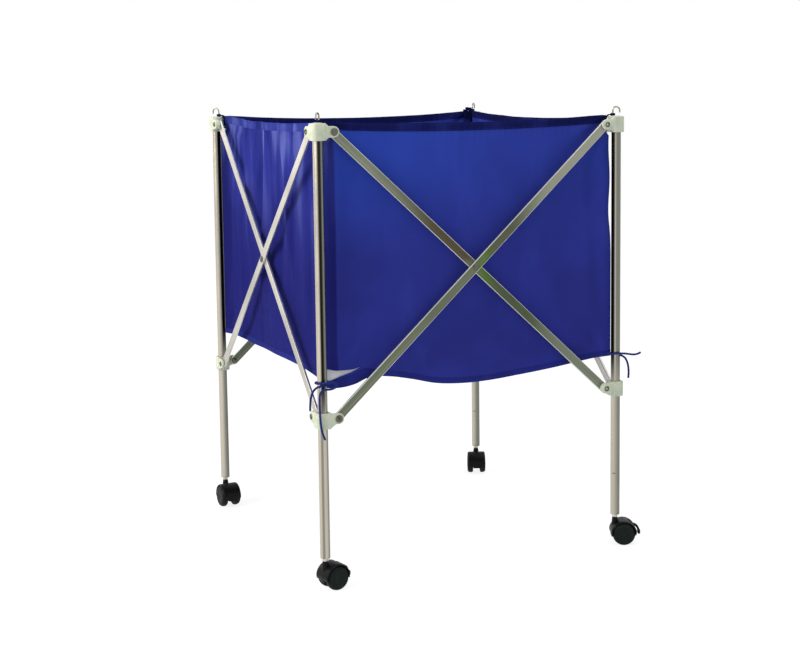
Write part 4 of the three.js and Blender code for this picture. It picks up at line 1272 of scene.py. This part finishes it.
def wall(k):
    """One wall of the bag with its hems, threads and webbing."""
    face, matrix = FACES[k], face_matrix(k)
    shape = Shape()
    holes = None
    if face == "front":
        holes = np.zeros((COLUMNS - 1, ROWS - 1), dtype=bool)
        holes[: int(SLIT_END * (COLUMNS - 1)), EAR_ROW] = True
        # the slit is backed by a near-white sheet of painted light
        shape.add(slit_light_sheet(), 4, matrix)
    points, faces = thick_grid(*wall_points(face, *unit_grid(COLUMNS, ROWS)), 0.9, holes=holes)
    shape.add((points, faces, sheet_uv(*WALL_FLAT, COLUMNS, ROWS)), 0, matrix)
    add_hems(shape, face, matrix)
    add_threads(shape, face, matrix)
    add_webbing(shape, k)
    if face == "back":
        add_straps(shape, k)
    # the left wall's tape takes the hem's paler copy with painted light
    finishes = [CLOTH, LEFT_HEM_PAINTED_LIGHT if face == "left" else HEM, SEAM, WEBBING, SLIT_PAINTED_LIGHT, THREAD]
    body = f"{CORNERS[k]}_leg"
    made = shape.piece(f"bag_{face}_cloth", finishes, body, f"bag_{face}_wall", "bag_cloth", 60)
    ends = [Vector(place(matrix @ Vector((s * WALL_END, 600, -14.5)))) for s in (-1, 1)]
    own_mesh(made)


def ribbon(path, wide_axis, thick, width):
    """A flat strip along a path, whose width lies along the given axis."""
    pts = [Vector(p) for p in path]
    section = ((-1, -0.6), (-0.8, -1), (0.8, -1), (1, -0.6), (1, 0.6), (0.8, 1), (-0.8, 1), (-1, 0.6))
    wide = Vector(wide_axis)
    loops = []
    for i, p in enumerate(pts):
        ahead = (pts[min(i + 1, len(pts) - 1)] - pts[max(i - 1, 0)]).normalized()
        w = (wide - ahead * wide.dot(ahead)).normalized()
        t = ahead.cross(w)
        loops.append([tuple(p + w * (a * width / 2) + t * (b * thick / 2)) for a, b in section])
    points, faces, uvs = rings(loops)
    return points, faces, [(0.008 * a, b) for a, b in uvs]


def floor_half(name):
    """Half of the dished floor, whose edges meet the lower hems of the walls."""
    columns, rows = 110, 60
    u, w = unit_grid(columns, rows, (0, 1), (0.5, 1) if name == "back" else (0, 0.5))
    front, right = hem_height("front", u), hem_height("right", w)
    rear, left = hem_height("back", 1 - u), hem_height("left", 1 - w)
    zero, one = np.zeros_like(u), np.ones_like(u)
    corners = hem_height("front", zero) * (1 - u) * (1 - w) + hem_height("front", one) * u * (1 - w)
    corners += hem_height("back", zero) * u * w + hem_height("back", one) * (1 - u) * w
    z = (1 - w) * front + w * rear + (1 - u) * left + u * right - corners
    dish = 16 * u * (1 - u) * w * (1 - w)  # 1 in the middle
    inner = smooth(np.minimum(np.minimum(u, 1 - u), np.minimum(w, 1 - w)), 0, 0.08)
    folds = 2.6 * np.sin(9.0 * u + 3.1 * w + 0.6) * np.sin(4.0 * w + 1.9)
    folds += 1.6 * np.sin(68 * (u - 0.5) * (w - 0.5))
    for cu, cw in ((0, 0), (1, 0), (0, 1), (1, 1)):
        reach = np.hypot((u - cu) * 600, (w - cw) * 600)
        angle = np.arctan2(np.abs(w - cw), np.abs(u - cu) + 1e-6)
        folds += 3.0 * np.exp(-reach / 110) * smooth(reach, 8, 50) * np.sin(10 * angle + cu + 2 * cw)
    lifted = 5 * (1 - smooth(u, 0.05, 0.16)) * (1 - smooth(w, 0.05, 0.16))
    z = z - 25 * dish + folds * inner + 1.0 + lifted
    places = {"left": 1 - w, "right": w, "front": u, "back": 1 - u}
    edge = {face: HALF - 1.8 + wall_points(face, at, zero)[2] for face, at in places.items()}
    x = -edge["left"] * (1 - u) + edge["right"] * u
    y = -edge["front"] * (1 - w) + edge["back"] * w
    points, faces = thick_grid(x, y, z, 0.9)
    shape = Shape().add((points, faces, sheet_uv(*FLOOR_FLAT, columns, rows)))
    body = f"bag_floor_{name}_half"
    made = shape.piece(f"bag_floor_{name}_cloth", [CLOTH], body, body, "bag_cloth", 60)
    side = FLOOR_END if name == "back" else -FLOOR_END
    place((side, 0, BAG_BOTTOM))
    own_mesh(made)


for number in range(4):
    wall(number)
floor_half("front")
floor_half("back")


# Setting
def add_light(name, energy, location, target, size, color):
    data = bpy.data.lights.new(name, "AREA")
    data.energy = energy
    data.shape = "RECTANGLE"
    data.size, data.size_y = size
    data.color = color
    light = bpy.data.objects.new(name, data)
    bpy.context.collection.objects.link(light)
    toward = Vector(target) - Vector(location)
    light.rotation_euler = toward.to_track_quat("-Z", "Y").to_euler()
    light.location = location


def add_setting():
    scene = bpy.context.scene
    scene.view_settings.view_transform = "Standard"
    world = bpy.data.worlds.new("studio")
    scene.world = world
    world.use_nodes = True
    background = world.node_tree.nodes["Background"]
    background.inputs[0].default_value = (1, 1, 1, 1)
    rays = add_node(world.node_tree, "ShaderNodeLightPath")
    seen = rays.output("Is Camera Ray").larger(rays.output("Is Transmission Ray"))
    strength = 0.55 + 0.45 * seen.larger(rays.output("Is Glossy Ray"))
    world.node_tree.links.new(strength.socket, background.inputs[1])
    mesh = bpy.data.meshes.new("floor")
    mesh.from_pydata([(-90, -90, 0), (90, -90, 0), (90, 90, 0), (-90, 90, 0)], [], [(0, 1, 2, 3)])
    mesh.materials.append(floor_material())
    floor = bpy.data.objects.new("floor", mesh)
    bpy.context.collection.objects.link(floor)
    warm, cool = (1.0, 0.93, 0.83), (0.95, 0.98, 1.0)
    add_light("key", 78, (-3.4, -0.6, 1.9), (0, 0, 0.6), (1.6, 1.6), warm)
    add_light("rim", 16, (-1.7, 2.9, 1.5), (0, 0, 0.6), (1.4, 1.8), warm)
    add_light("top", 26, (0.4, -0.6, 3.2), (0, 0, 0.4), (2.0, 2.0), cool)


def floor_material():
    """Pale floor that reads as white and keeps a faint shadow."""
    surface = Surface("floor_white", (0.9, 0.9, 0.9), 0.9)
    surface.set("Specular IOR Level", 0.0)
    tree = surface.tree
    rays = add_node(tree, "ShaderNodeLightPath")
    share = 0.72 * rays.output("Is Camera Ray").larger(rays.output("Is Glossy Ray"))
    glow = add_node(tree, "ShaderNodeEmission", None, {0: (1, 1, 1, 1), 1: 1.19})
    lit = Value(tree, surface.shader.outputs[0])
    mixed = add_node(tree, "ShaderNodeMixShader", None, {0: share, 1: lit, 2: glow})
    tree.links.new(mixed.socket, tree.nodes["Material Output"].inputs[0])
    return surface.material


add_setting()
